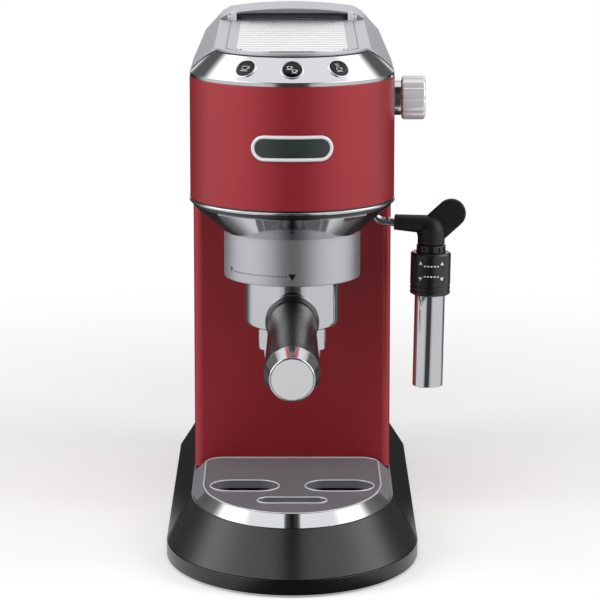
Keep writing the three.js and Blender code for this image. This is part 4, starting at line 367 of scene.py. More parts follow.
# %% [markdown]
# ## Tools of the workshop
#
# Most pieces start as one closed line: a section, or an outline seen from above. The line is a
# circle primitive with one corner for each point, whose corners then go to their places. From
# there it is spun round an axis, as on a lathe, or extruded level by level, as in a mould.

# %% Lines
def arc(centre_x, centre_y, reach_x, reach_y, start, end, steps):
    """Points along an arc, from one angle to another in degrees."""
    angles = [math.radians(start + (end - start) * i / steps) for i in range(steps + 1)]
    return [(centre_x + reach_x * math.cos(a), centre_y + reach_y * math.sin(a)) for a in angles]


def rounded(corners, steps=4):
    """Corners (across, up, radius) as points, each corner with a radius turned into a small arc."""
    points = []
    for i, (x, z, radius) in enumerate(corners):
        here = Vector((x, z))
        if radius <= 0:
            points.append((x, z))
            continue
        before = Vector(corners[i - 1][:2]) - here
        after = Vector(corners[(i + 1) % len(corners)][:2]) - here
        half = before.angle(after) / 2
        back = min(radius / math.tan(half), before.length * 0.49, after.length * 0.49)
        start, end = here + before.normalized() * back, here + after.normalized() * back
        for step in range(steps + 1):
            t = step / steps
            point = start * (1 - t) ** 2 + here * 2 * t * (1 - t) + end * t ** 2
            points.append((point.x, point.y))
    return points


def stadium(half_length, half_width, x=0, y=0, steps=20):
    """A slot's outline with round ends."""
    reach = half_length - half_width
    return (arc(x + reach, y, half_width, half_width, -90, 90, steps)
            + arc(x - reach, y, half_width, half_width, 90, 270, steps))


def box_outline(low_x, high_x, low_y, high_y, radius=0, steps=6):
    """A rectangle's outline, with rounded corners if it has a radius."""
    return rounded([(low_x, low_y, radius), (high_x, low_y, radius), (high_x, high_y, radius),
                    (low_x, high_y, radius)], steps)


# %% Operators on one piece
def only(piece, mode="OBJECT"):
    """Selects this piece alone, and opens it for editing if asked."""
    bpy.ops.object.select_all(action="DESELECT")
    piece.select_set(True)
    bpy.context.view_layer.objects.active = piece
    if mode == "EDIT":
        bpy.ops.object.mode_set(mode="EDIT")
        bpy.ops.mesh.select_all(action="SELECT")


def closed_up(piece):
    """Merges doubles and turns all faces out."""
    only(piece, "EDIT")
    bpy.ops.mesh.remove_doubles(threshold=1e-7)
    bpy.ops.mesh.normals_make_consistent(inside=False)
    bpy.ops.object.mode_set(mode="OBJECT")
    return piece


def line_of(name, places):
    """A circle primitive with a corner for each place, and each corner moved there."""
    bpy.ops.object.select_all(action="DESELECT")
    bpy.ops.mesh.primitive_circle_add(vertices=len(places), radius=0.01, location=(0, 0, 0))
    piece = bpy.context.object
    piece.name = name
    for corner, target in zip(piece.data.vertices, places):
        corner.co = target
    return piece


def stroke(name, places, radius, closed=False):
    """A round line through places, as a mesh."""
    line = bpy.data.curves.new(name, "CURVE")
    line.dimensions, line.bevel_depth, line.bevel_resolution = "3D", radius * MM, 3
    line.use_fill_caps = True
    spline = line.splines.new("POLY")
    spline.points.add(len(places) - 1)
    spline.use_cyclic_u = closed
    for point, place in zip(spline.points, places):
        point.co = (*place, 1)
    piece = bpy.data.objects.new(name, line)
    bpy.context.collection.objects.link(piece)
    only(piece)
    bpy.ops.object.convert(target="MESH")
    return closed_up(bpy.context.object)


def lofted(name, levels):
    """A closed skin through outlines with as many corners each: the first face, extruded on and on."""
    piece = line_of(name, levels[0])
    only(piece, "EDIT")
    bpy.ops.mesh.edge_face_add()
    for here, there in zip(levels, levels[1:]):
        bpy.ops.mesh.extrude_region_move()
        bpy.ops.object.mode_set(mode="OBJECT")
        goes = {tuple(round(v, 7) for v in start): end for start, end in zip(here, there)}
        for corner in piece.data.vertices:
            if corner.select:
                corner.co = goes[tuple(round(v, 7) for v in corner.co)]
        bpy.ops.object.mode_set(mode="EDIT")
    bpy.ops.object.mode_set(mode="OBJECT")
    return closed_up(piece)


def level(outline, z):
    """An outline seen from above, at a height."""
    return [at(x, y, z) for x, y in outline]


def prism(name, outline, low, high, along="z"):
    """An outline pushed along an axis. Along x it holds (y, z) points, and along y (x, z) points."""
    put = {"z": lambda u, v, w: at(u, v, w), "x": lambda u, v, w: at(w, u, v),
           "y": lambda u, v, w: at(u, w, v)}[along]
    return lofted(name, [[put(u, v, w) for u, v in outline] for w in (low, high)])


def axis_at(x, y, z=0, degrees=0, about="X"):
    """An axis through a place: upright, or leaning by an angle about X or Y."""
    return Matrix.Translation(at(x, y, z)) @ Matrix.Rotation(math.radians(degrees), 4, about)


upright = axis_at(0, 0)


def turned(name, corners, axis=upright, steps=96, arc_steps=4):
    """Spins a section of (radius, height, corner radius) once round the axis' own Z."""
    points = rounded(corners, arc_steps)
    piece = line_of(name, [axis @ Vector((r * MM, 0, z * MM)) for r, z in points])
    if points[0][0] == 0 and points[-1][0] == 0:
        for edge in piece.data.edges:
            edge.select = set(edge.vertices) == {0, len(points) - 1}
        for corner in piece.data.vertices:
            corner.select = False
        bpy.ops.object.mode_set(mode="EDIT")
        bpy.ops.mesh.select_mode(type="EDGE")
        bpy.ops.mesh.delete(type="EDGE_FACE")
        bpy.ops.mesh.select_mode(type="VERT")
        bpy.ops.object.mode_set(mode="OBJECT")
    only(piece, "EDIT")
    bpy.ops.mesh.spin(steps=steps, angle=2 * math.pi, center=axis.translation,
                      axis=axis.to_3x3() @ Vector((0, 0, 1)))
    bpy.ops.object.mode_set(mode="OBJECT")
    return closed_up(piece)


def rod(name, radius, low, high, axis=upright, steps=48):
    """A plain round bar to fuse with or cut with."""
    return turned(name, [(0, low, 0), (radius, low, 0), (radius, high, 0), (0, high, 0)], axis, steps)


def joined(piece, *others):
    """Other pieces become part of this one without being cut."""
    only(piece)
    for other in others:
        other.select_set(True)
    bpy.ops.object.join()
    return piece


def combined(piece, operation, *tools, join=0.01):
    """Cuts off (DIFFERENCE), keeps what is common with (INTERSECT) or fuses (UNION) other pieces.

    Corners that end up closer than join, in mm, become one, so that no slivers are left.
    """
    for tool in tools:
        only(piece)
        change = piece.modifiers.new("combine", "BOOLEAN")
        change.operation, change.object, change.solver = operation, tool, "EXACT"
        bpy.ops.object.modifier_apply(modifier="combine")
        bpy.data.objects.remove(tool)
    only(piece, "EDIT")
    bpy.ops.mesh.remove_doubles(threshold=join * MM)
    bpy.ops.mesh.dissolve_degenerate(threshold=join * MM)
    bpy.ops.object.mode_set(mode="OBJECT")
    return piece


def sliced(piece, place, outward):
    """Cuts off what lies beyond a plane and closes the cut."""
    only(piece, "EDIT")
    bpy.ops.mesh.bisect(plane_co=place, plane_no=outward, use_fill=True, clear_outer=True)
    bpy.ops.object.mode_set(mode="OBJECT")
    return piece


def softened(piece, width, segments=3, angle=30):
    """Rounds the sharp edges by a width in mm, once faces in one plane are joined and edges whole."""
    only(piece, "EDIT")
    bpy.ops.mesh.dissolve_limited(angle_limit=math.radians(0.5))
    bpy.ops.object.mode_set(mode="OBJECT")
    change = piece.modifiers.new("edges", "BEVEL")
    change.width, change.segments = width * MM, segments
    change.limit_method, change.angle_limit = "ANGLE", math.radians(angle)
    bpy.ops.object.modifier_apply(modifier="edges")
    return piece


def copied(piece, name, shift):
    """A copy with its own mesh, moved in its mesh by (x, y, z) in mm."""
    only(piece)
    bpy.ops.object.duplicate()
    copy = bpy.context.object
    copy.name = name
    only(copy, "EDIT")
    bpy.ops.transform.translate(value=Vector(shift) * MM)
    bpy.ops.object.mode_set(mode="OBJECT")
    return copy


def hand_over(piece, body, slot, *nodes, smooth=40):
    """Shades the finished piece, gives it its finish and body, and lets it stand for its CAD nodes."""
    only(piece)
    bpy.ops.object.shade_smooth_by_angle(angle=math.radians(smooth))
    even = piece.modifiers.new("even", "WEIGHTED_NORMAL")
    even.keep_sharp = True
    bpy.ops.object.modifier_apply(modifier="even")
    piece.data.materials.clear()
    piece.data.materials.append(finishes[slot])
    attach(piece, body)
    if nodes:
        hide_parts(*nodes)
    print(piece.name, "faces:", len(piece.data.polygons))
    return piece


def span(node, axis):
    """A CAD node's lowest and highest value along an axis, in the same millimetres as at()."""
    index = "xyz".index(axis)
    zero = at(0, 0, 0)[index]
    return [(corner[index] - zero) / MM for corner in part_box(node)]


def middle(node, axis):
    """The middle of a CAD node along an axis."""
    return sum(span(node, axis)) / 2


# %% [markdown]
# ## The red body
#
# The head and the sides are one painted steel wrap: bent round the front, straight along the
# sides and slightly narrower at the rear. It is an outline from above stood up, hollowed to a
# sheet, and trimmed to its side view, where the front part stops above the drip tray. The sheet's
# edges are rolled, so they are rounded by half a millimetre.

# %% Body wrap
head_radius = span("body_wrap", "x")[1]
body_rear = span("body_wrap", "y")[1]
rim_top, seam_rear = span("body_wrap", "z")
flange, head_height, knob_drop = 2.2, 71.85, 16.1
head_low = span("wand_socket", "z")[1] - flange
wrap_top = head_low + head_height
taper_from, rear_taper = 70, 4.1
beyond = body_rear + 20
cover_top = span("top_cover", "z")[1]
knob_y, knob_z = 20, wrap_top - knob_drop


def body_outline(inset, back=None):
    """The body from above, moved in by an inset."""
    rear = body_rear - inset if back is None else back
    half = head_radius - rear_taper * (rear - taper_from) / (body_rear - taper_from) - inset
    return arc(0, 0, head_radius - inset, head_radius - inset, 180, 360, 96) + [
        (head_radius - inset, taper_from), (half, rear), (-half, rear), (-head_radius + inset, taper_from)]


def seam(y):
    """Height of the seam between wrap and cover, which rises where the sides close in."""
    return wrap_top + (seam_rear - wrap_top) * max(0, y - taper_from) / (body_rear - taper_from)


sheet = 1.5
column_face, column_back = span("column_front", "y")
wrap = prism("body_wrap_skin", body_outline(0), rim_top, 290)
wrap_room = prism("wrap_room", body_outline(sheet, beyond), rim_top - 1, 291)
side_view = prism("side_view", [
    (column_back + 0.3, rim_top - 1), (beyond, rim_top - 1), (beyond, seam(beyond)),
    (taper_from, wrap_top), (-90, wrap_top), (-90, head_low), (column_back + 0.3, head_low)], -90, 90, "x")
knob_axis = axis_at(0, knob_y, knob_z, 90, "Y")
combined(wrap, "DIFFERENCE", wrap_room)
combined(wrap, "INTERSECT", side_view)
combined(wrap, "DIFFERENCE", rod("stem_hole", 3.3, 30, 90, knob_axis, 32))
hand_over(softened(wrap, 0.5), "base", "red_paint", "body_wrap")

# %% [markdown]
# The column behind the cups is a second red sheet. It is folded back at both sides with a six
# millimetre corner, and slides behind the wrap's edges.

# %% Column
column_half = span("column_front", "x")[1]
column_low, column_high = span("column_front", "z")
outer_line = rounded([(-column_half, column_back, 0), (-column_half, column_face, 6),
                      (column_half, column_face, 6), (column_half, column_back, 0)], 10)
inner_half, inner_face, inner_bend = column_half - sheet, column_face + sheet, 6 - sheet
inner_line = rounded([(inner_half, column_back, 0), (inner_half, inner_face, inner_bend),
                      (-inner_half, inner_face, inner_bend), (-inner_half, column_back, 0)], 10)
column = prism("column_front_skin", outer_line + inner_line, column_low, column_high)
hand_over(softened(column, 0.3), "base", "red_paint", "column_front")

# %% [markdown]
# ## The black base
#
# Seen from above, the base is a bullet: an elliptical nose and rounded rear corners. Its skirt
# slopes in towards the rim. The plate underneath stands on four rubber feet and is hollowed
# from below, with two ribs and a boss round each foot. The drip tray forms the front of the
# skirt and pulls out, so skirt and tray are cut from the same sloping shape.

# %% Base outlines
plate_low, plate_high = span("base_plate", "z")
base_half = span("base_plate", "x")[1]
base_rear = span("base_plate", "y")[1]
skirt_high = span("base_rear_shell", "z")[1]
tray_rear = span("drip_tray", "y")[1]
rim_half = head_radius - 0.1


def bullet(half, nose, nose_y, back, corner, steps=96):
    """A bullet from above: rear corners and an elliptical nose."""
    side = half - corner
    return (arc(side, back - corner, corner, corner, 0, 90, 10)
            + arc(-side, back - corner, corner, corner, 90, 180, 10)
            + arc(0, nose_y, half, nose, 180, 360, steps))


def base_line(z, inset=0):
    """The skirt's outline at a height."""
    up = (z - plate_high) / (skirt_high - plate_high)
    return bullet(base_half + (rim_half - base_half) * up - inset, 91 - 7 * up - inset, -40 + 25 * up,
                  base_rear - 1.5 * up - inset, 15 - 4 * up - inset / 2)


# %% Base plate
plate = lofted("base_plate_skin", [
    level(base_line(plate_high, 0.8), plate_low), level(base_line(plate_high, 0.25), plate_low + 0.2),
    level(base_line(plate_high), plate_low + 0.8), level(base_line(plate_high), plate_high - 0.5),
    level(base_line(plate_high, 0.15), plate_high - 0.15), level(base_line(plate_high, 0.5), plate_high)])
hollow = prism("hollow", base_line(plate_high, 7), plate_low - 5, plate_low + 4)
feet = {name: (middle(name, "x"), middle(name, "y")) for name in (
    "foot_front_left", "foot_front_right", "foot_rear_left", "foot_rear_right")}
for x, y in feet.values():
    combined(hollow, "DIFFERENCE", rod("foot_boss", 11.5, -6, 8, axis_at(x, y)))
rib_y = (feet["foot_front_left"][1] + feet["foot_rear_left"][1]) / 2
combined(hollow, "DIFFERENCE", prism("long_rib", box_outline(-1.2, 1.2, -200, 260), -6, 8),
         prism("cross_rib", box_outline(-100, 100, rib_y - 1.2, rib_y + 1.2), -6, 8))
combined(plate, "DIFFERENCE", hollow)
for x, y in feet.values():
    combined(plate, "DIFFERENCE", rod("foot_room", 8.3, -3, 4.55, axis_at(x, y)))
hand_over(plate, "base", "black_plastic", "base_plate")

# %% [markdown]
# One foot is turned and copied to the other three places. Each is a rubber pad with a rounded
# sole that stands in its own boss.

# %% Feet
(first_name, (first_x, first_y)), *others = feet.items()
pad = turned(first_name + "_pad", [(0, 0, 0), (7, 0, 0.4), (8, 0.8, 0.5), (8, 4.5, 0), (0, 4.5, 0)],
             axis_at(first_x, first_y), 48)
hand_over(pad, "base", "black_rubber", first_name)
for name, (x, y) in others:
    foot = copied(pad, name + "_pad", (x - first_x, y - first_y, 0))
    hand_over(foot, "base", "black_rubber", name)

# %% [markdown]
# The rear shell is the part of the skirt behind the tray, hollowed to a three millimetre wall. A
# rubber gland at its back shows where the supply comes in.

# %% Rear shell
def skirt(name, low):
    """The sloping skirt as a solid, with its upper edge rounded."""
    return lofted(name, [level(base_line(low), low), level(base_line(skirt_high - 0.6), skirt_high - 0.6),
                         level(base_line(skirt_high - 0.15, 0.15), skirt_high - 0.15),
                         level(base_line(skirt_high, 0.6), skirt_high)])


shell_front = tray_rear + 0.3
shell = sliced(skirt("base_rear_shell_skin", plate_high + GAP), at(0, shell_front, 0), (0, -1, 0))
shell_room = lofted("shell_room", [level(base_line(plate_high - 1, 3), plate_high - 1),
                                   level(base_line(skirt_high - 3, 3), skirt_high - 3)])
sliced(shell_room, at(0, shell_front + 3, 0), (0, -1, 0))
gland_axis = axis_at(middle("cord_gland", "x"), base_rear + GAP, middle("cord_gland", "z"), -90)
combined(shell, "DIFFERENCE", shell_room, rod("gland_hole", 6.3, -20, 20, gland_axis))
hand_over(shell, "base", "black_plastic", "base_rear_shell")

gland = turned("cord_gland_skin", [
    (3.3, -8, 0.3), (6, -8, 0.3), (6, 0, 0), (8, 0, 0), (8, 1.4, 0.5), (5, 2.4, 0.4), (3.3, 2.4, 0.4)],
    gland_axis, 64)
hand_over(gland, "base", "black_rubber", "cord_gland")

# %% [markdown]
# ## The drip tray and the cup plate
#
# The tray is an open basin. On its rim stands the cup plate: a pressed sheet with a sloping edge,
# a thin raised line round its flat, two drain openings and a shallow slot for a finger. The raised
# lines round the flat and the openings are real edges in a brighter steel than the plate, which
# paints a highlight along them. A chrome band covers the slope round the nose. Plate and band meet
# edge to edge, so both are cut from the same two outlines.

# %% Drip tray
tray_low = span("drip_tray", "z")[0]
tray = sliced(skirt("drip_tray_skin", tray_low), at(0, tray_rear, 0), (0, 1, 0))
basin = lofted("basin", [level(base_line(tray_low + 2.7, 4), tray_low + 2.7),
                         level(base_line(skirt_high + 1, 4), skirt_high + 1)])
sliced(basin, at(0, tray_rear - 4, 0), (0, 1, 0))
combined(tray, "DIFFERENCE", basin)
hand_over(tray, "drip_tray", "black_plastic", "drip_tray")


# %% Cup plate and trim outlines
stand_z = span("tray_trim", "z")[0]
cup_z = span("cup_plate", "z")[1]


def rim_line(inset):
    """The foot of the sloping edge."""
    return bullet(rim_half - inset, 84 - inset, -15, tray_rear - inset / 4, 12 - inset / 2)


def flat_line(inset):
    """The edge of the flat where cups stand."""
    return bullet(rim_half - 6.5 - inset, 70 - inset, -20, tray_rear - inset, 12 - inset / 2)


# %% Cup plate
cup_plate = lofted("cup_plate_skin", [
    level(rim_line(1.2), stand_z), level(rim_line(1.2), stand_z + 1.15), level(flat_line(0.3), cup_z - 0.2),
    level(flat_line(0.6), cup_z), level(flat_line(1.5), cup_z), level(flat_line(2.1), cup_z - 0.5)])
under = lofted("under", [level(rim_line(4.1), stand_z - 1), level(rim_line(4.1), stand_z - 0.2),
                         level(flat_line(2.9), cup_z - 1.9)])
combined(cup_plate, "DIFFERENCE", under)
front_block = prism("front_block", box_outline(-90, 90, -160, -40), 0, cup_z + 1)
inside_trim = lofted("inside_trim", [level(rim_line(1.5), -1), level(rim_line(1.5), stand_z),
                                     level(flat_line(1.5), cup_z), level(flat_line(1.5), cup_z + 3)])
combined(front_block, "DIFFERENCE", inside_trim)
combined(cup_plate, "DIFFERENCE", front_block)
drains, slot_y, press_wall = ((-28.3, -26.7), (28.3, -26.7)), -59.8, 1.4
drain_length, drain_width, slot_length, slot_width = 20.6, 12.7, 20.4, 6.6
for place in drains:
    combined(cup_plate, "UNION", prism("drain_wall", stadium(
        drain_length + press_wall, drain_width + press_wall, *place), cup_z - 5, cup_z - 0.9))
combined(cup_plate, "UNION", prism("slot_dish", stadium(
    slot_length + press_wall, slot_width + press_wall, 0, slot_y), cup_z - 4.4, cup_z - 0.9))
edges = [stadium(drain_length, drain_width, *place) for place in drains]
for edge in edges:
    combined(cup_plate, "DIFFERENCE", prism("drain", edge, 10, cup_z + 5))
edges.append(stadium(slot_length, slot_width, 0, slot_y))
combined(cup_plate, "DIFFERENCE", prism("slot", edges[-1], cup_z - 3, cup_z + 5))
hand_over(softened(cup_plate, 0.25, 2), "cup_plate", "polished_steel", "cup_plate")
# Raised rims in a brighter satin finish than the plate: real edges with a painted highlight.
edges.append(flat_line(1.0))
rolled = joined(*[stroke("cup_plate_rims_painted_highlight", level(line, cup_z - 0.15), 0.45, True) for line in edges])
hand_over(rolled, "cup_plate", "satin_steel")

# %% Trim
trim = lofted("tray_trim_skin", [level(rim_line(0), stand_z), level(flat_line(0), cup_z)])
trim_room = lofted("trim_room", [level(rim_line(1.2), stand_z - 0.02), level(flat_line(1.2), cup_z + 0.02)])
combined(trim, "DIFFERENCE", trim_room)
sliced(trim, at(0, span("tray_trim", "y")[1], 0), (0, 1, 0))
hand_over(softened(trim, 0.35), "drip_tray", "chrome", "tray_trim")

# %% [markdown]
# ## The head's underside
#
# A black bowl carries the brewing group. It is spun round the group's axis, and behind the round
# front a flat plate fills the head's corners. A chrome ring lines the red wrap's lower edge, and
# a chrome plate lies on the bowl's front. That plate is a cone like the bowl, trimmed to slanting
# sides.

# %% Bowl
group_low, sleeve_high = span("group_sleeve", "z")
group_top = sleeve_high + GAP
sleeve_radius = span("group_sleeve", "x")[1]
cone_low, cone_high, cone_top = sleeve_radius + 0.9, head_radius - 1.6, head_low - 4.35
shoulder = head_radius - 0.9
under_top = head_low - GAP
underbody = turned("head_underbody_skin", [
    (22, group_top, 0), (cone_low, group_top, 0.8), (cone_high, cone_top, 0.6),
    (shoulder, cone_top + 1.2, 0.4), (shoulder, under_top, 0), (shoulder - 3, under_top, 0),
    (shoulder - 3, cone_top + 1.8, 0), (cone_low - 1, group_top + 3, 0), (22, group_top + 3, 0)], steps=128)
corner_plate = prism("corner_plate", body_outline(0.9), cone_top + 1.2, under_top)
combined(corner_plate, "DIFFERENCE", rod("round_room", shoulder - 1.5, cone_top, under_top + 1, steps=96))
combined(underbody, "UNION", corner_plate)
sliced(underbody, at(0, column_face - 0.3, 0), (0, 1, 0))
pivot_x, pivot_y = (middle("wand_socket", axis) for axis in "xy")
wand_axis = axis_at(pivot_x, pivot_y)
combined(underbody, "DIFFERENCE", rod("socket_hole", 8.3, 150, 230, wand_axis))
hand_over(underbody, "base", "black_plastic", "head_underbody")

# %% [markdown]
# The ring is a thin bright band with rounded edges along the head's lower rim. It follows the
# body's outline from above and stops where the column begins.

# %% Ring under the head
ring_low, ring_high = span("head_ring", "z")
ring = lofted("head_ring_skin", [
    level(body_outline(-0.1), ring_low), level(body_outline(-0.45), ring_low + 0.35),
    level(body_outline(-0.45), ring_high - 0.35), level(body_outline(-0.1), ring_high)])
combined(ring, "DIFFERENCE", prism("ring_room", body_outline(0.85), ring_low - 1, ring_high + 1))
sliced(ring, at(0, span("head_ring", "y")[1], 0), (0, 1, 0))
hand_over(ring, "base", "chrome", "head_ring")

# %% Chrome plate on the bowl
lean = Vector((cone_high - cone_low, cone_top - group_top)).normalized()
chrome_off, chrome_out = 0.05, 0.85


def on_bowl(z, lift):
    """Radius and height of a point that stands off the bowl's cone."""
    share = (z - group_top) / (cone_top - group_top)
    return (cone_low + (cone_high - cone_low) * share + lean.y * lift, z - lean.x * lift, 0)


skirt_plate = turned("head_skirt_skin", [
    on_bowl(group_top + 0.6, chrome_off), on_bowl(group_top + 0.6, chrome_out),
    on_bowl(cone_top - 0.4, chrome_out), on_bowl(cone_top - 0.4, chrome_off)], steps=160)
trapezoid = prism("trapezoid", [(-36, 188.6), (36, 188.6), (44.4, 207), (-44.4, 207)], -90, 0, "y")
combined(skirt_plate, "INTERSECT", trapezoid)
hand_over(softened(skirt_plate, 0.3), "base", "chrome", "head_skirt")

# %% [markdown]
# ## The brewing group
#
# A steel sleeve stands round the cast group. It is brushed sheet with a small turned-in foot.
# Printed marks on it show which way the portafilter turns: a small triangle where it goes in, a
# larger one where it is tight, and a line of dots between them. Each mark is a thin film of ink,
# a circle primitive moved onto the sleeve and given its thickness.

# %% Group sleeve
sleeve = turned("group_sleeve_skin", [
    (36.6, group_low, 0.2), (sleeve_radius, group_low, 1.0), (sleeve_radius, sleeve_high, 0.4),
    (sleeve_radius - 0.9, sleeve_high, 0.2), (sleeve_radius - 0.9, group_low + 0.65, 0.3),
    (36.6, group_low + 0.65, 0.2)], steps=128)
hand_over(sleeve, "base", "brushed_steel", "group_sleeve")


# %% Marks on the sleeve
ink_film = (0.03, 0.08)


def on_sleeve(angle, z, out):
    """A place on the sleeve, with the angle in degrees to the right of the front."""
    turn = math.radians(angle)
    return at((sleeve_radius + out) * math.sin(turn), -(sleeve_radius + out) * math.cos(turn), z)


def mark(angle, z, outline):
    """A film of ink with its outline in mm, bent onto the sleeve."""
    return lofted("turn_marks", [[on_sleeve(angle + math.degrees(x / sleeve_radius), z + y, out)
                                  for x, y in outline] for out in ink_film])


mark_z = group_low + 6.2
marks = [mark(-61.7, mark_z + 0.6, [(-1.5, 1.2), (1.5, 1.2), (0, -1.4)]),
         mark(0, mark_z - 0.4, [(-2.3, 1.9), (2.3, 1.9), (0, -2.1)])]
marks += [mark(-57.5 + 2.9 * i, mark_z, arc(0, 0, 0.42, 0.42, 0, 330, 11)) for i in range(19)]
hand_over(joined(*marks), "base", "black_plastic")

# %% [markdown]
# ## The portafilter
#
# The bowl is turned from brass and plated. Three lugs round its rim ride up the ramps inside the
# group. Its handle leaves through a boss and dips by a few degrees: everything on the handle is
# spun round that leaning axis.

# %% Portafilter bowl
bowl_radius, bowl_depth, handle_lean = 28.9, 30.1, 4.8
porta_low = group_low - bowl_depth
porta_rim = span("portafilter_bowl", "z")[1]
porta = turned("portafilter_bowl_skin", [
    (4.5, porta_low, 0.3), (bowl_radius, porta_low, 5), (bowl_radius, porta_rim, 0.3),
    (bowl_radius - 2.5, porta_rim, 0.3), (bowl_radius - 2.5, porta_low + 5.5, 2), (4.5, porta_low + 5.5, 0)],
    steps=128, arc_steps=8)
handle_axis = axis_at(0, -bowl_radius, porta_low + 8.3, 90 + handle_lean)
boss = turned("boss", [(0, -2.4, 0), (15, -2.4, 0), (15, 2, 0.6), (0, 2, 0)], handle_axis, 96)
combined(porta, "UNION", boss)
lug_low, lug_half, lug_radius, lug_root = group_low + 3.2, 18, 32, bowl_radius - 0.5
for angle in (-90, 30, 150):
    start, end = angle - lug_half, angle + lug_half
    lug = prism("lug", arc(0, 0, lug_radius, lug_radius, start, end, 12)
                + arc(0, 0, lug_root, lug_root, end, start, 12), lug_low, lug_low + 5)
    combined(porta, "UNION", softened(lug, 0.4, 2))
hand_over(porta, "portafilter", "chrome", "portafilter_bowl")

# %% [markdown]
# The grip is moulded round a steel rod: a collar at its root, a waist, and a slow swell towards
# the end. A plated cap closes it, with a satin disc let into its face. All three are spun.

# %% Grip and cap
grip_end, cap_length = 104.5, 12.8
grip = turned("handle_grip_skin", [
    (0, 2.3, 0), (15.9, 2.3, 0.7), (15.9, 6.3, 0.7), (14.2, 7.9, 1.2), (14.2, 28.3, 12), (15, 66.4, 20),
    (15.8, 96.5, 6), (15.8, grip_end, 0.4), (0, grip_end, 0)], handle_axis, 96, 8)
hand_over(grip, "portafilter", "black_plastic", "handle_grip")
cap_end = grip_end + cap_length
cap = turned("handle_cap_skin", [
    (0, grip_end + 0.3, 0), (15.8, grip_end + 0.3, 0.3), (15.8, grip_end + 1.5, 0.3),
    (12.8, cap_end - 0.6, 0.5), (12.2, cap_end - 0.2, 0.2), (11.9, cap_end - 0.8, 0),
    (0, cap_end - 0.8, 0)], handle_axis)
hand_over(cap, "portafilter", "chrome", "handle_cap")
disc = turned("handle_cap_disc", [(0, cap_end - 0.78, 0), (11.8, cap_end - 0.78, 0),
                                  (11.6, cap_end - 0.35, 0.2), (0, cap_end - 0.3, 0)], handle_axis)
hand_over(disc, "portafilter", "satin_steel")

# %% [markdown]
# The spout splits the coffee in two. It is cast with round shoulders and an arch between its
# nozzles: its front view is pushed through, and its plan keeps the ends round.

# %% Spout
spout_top, spout_low = porta_low - GAP, porta_low - 14.5
front_view = rounded([
    (-21, spout_top, 7), (-19.5, spout_low, 1.5), (-8.5, spout_low, 0.5), (0, spout_low + 9.5, 12),
    (8.5, spout_low, 0.5), (19.5, spout_low, 1.5), (21, spout_top, 7)], 10)
spout = prism("spout_skin", front_view, -10, 10, "y")
combined(spout, "INTERSECT", prism("spout_plan", stadium(21, 9, steps=32), spout_low - 2, spout_top + 2))
for x in (-13, 13):
    combined(spout, "UNION", turned("nozzle", [
        (0, spout_low - 6, 0), (3.9, spout_low - 6, 0.4), (4.5, spout_low + 2, 0), (0, spout_low + 2, 0)],
        axis_at(x, 0), 48))
    combined(spout, "DIFFERENCE", rod("bore", 2.5, spout_low - 8, spout_low + 4, axis_at(x, 0), 32))
hand_over(softened(spout, 0.4, 2), "portafilter", "chrome", "spout")

# %% [markdown]
# ## The control panel
#
# The panel is a plated cone between the head and the flat top, with an upright lip at its foot.
# It ends at slanting lines where the cover's cheeks begin. Three round holes hold the buttons,
# each in a raised bezel. The buttons move in along the slope's own normal, so each has an axis
# that leans with the cone.

# %% Panel's cone and the buttons' axes
panel_foot, panel_foot_z = head_radius - 0.3, wrap_top + 2.4
panel_head, panel_head_z = 46.5, cover_top - 1.5
slope = Vector((panel_head - panel_foot, panel_head_z - panel_foot_z)).normalized()
slope_out = Vector((slope.y, -slope.x))


def on_slope(share, out):
    """Radius and height of a point between the panel's foot (0) and head (1), moved outwards."""
    return (panel_foot + (panel_head - panel_foot) * share + slope_out.x * out,
            panel_foot_z + (panel_head_z - panel_foot_z) * share + slope_out.y * out)


wide = 80.6
cheek_half, cheek_y, cheek_rise = 44, -14.1, 20.1 / 14.8


def front_region(name, shift):
    """All that lies in front of the cheeks' slanting edges."""
    in_y = cheek_y + shift
    out_y = cheek_y + cheek_rise * (wide - cheek_half) + shift
    return prism(name, [(-wide, -wide), (wide, -wide), (wide, out_y), (cheek_half, in_y),
                        (-cheek_half, in_y), (-wide, out_y)], wrap_top - 3, cover_top + 3)


button_axes = {}
radius, height = on_slope(0.5, 0)
for name, angle in (("one_cup_button", -30), ("two_cup_button", 0), ("steam_button", 30)):
    turn = math.radians(angle)
    outward = Vector((slope_out.x * math.sin(turn), -slope_out.x * math.cos(turn), slope_out.y))
    across = Vector((math.cos(turn), math.sin(turn), 0))
    facing = Matrix((across, outward.cross(across), outward)).transposed().to_4x4()
    button_axes[name] = axis_at(radius * math.sin(turn), -radius * math.cos(turn), height) @ facing

# %% Control panel
foot_x, foot_z = on_slope(0, -1.8)
panel = turned("control_panel_skin", [
    (foot_x, wrap_top + GAP, 0), (panel_foot, wrap_top + GAP, 0.25), (panel_foot, panel_foot_z, 0.5),
    (panel_head, panel_head_z, 0.4), (panel_head, panel_head_z - 2.5, 0), (foot_x, foot_z, 0)], steps=160)
combined(panel, "INTERSECT", front_region("region", -0.3))
softened(panel, 0.25, 2)
for axis in button_axes.values():
    combined(panel, "DIFFERENCE", rod("button_hole", 5.7, -6, 4, axis, 64))
bezels = [turned("bezel", [(5.72, -0.8, 0), (5.72, 0.5, 0.3), (6.6, 0.5, 0.4), (6.9, -0.8, 0)], axis, 64)
          for axis in button_axes.values()]
joined(panel, *bezels)
hand_over(panel, "base", "chrome", "control_panel")

# %% [markdown]
# The buttons are glossy black discs. Each carries a plain icon, printed as pale lines: one cup,
# two cups, and steam. A line is a curve with a round section, made a mesh and sunk by half into
# the disc.

# %% Buttons and icons
new_finish("icon_ink", "pale_printed_ink", "#d8d8d8", "#cfcfcf", 2, 0.1, 0.002, (0.45, 0.55))


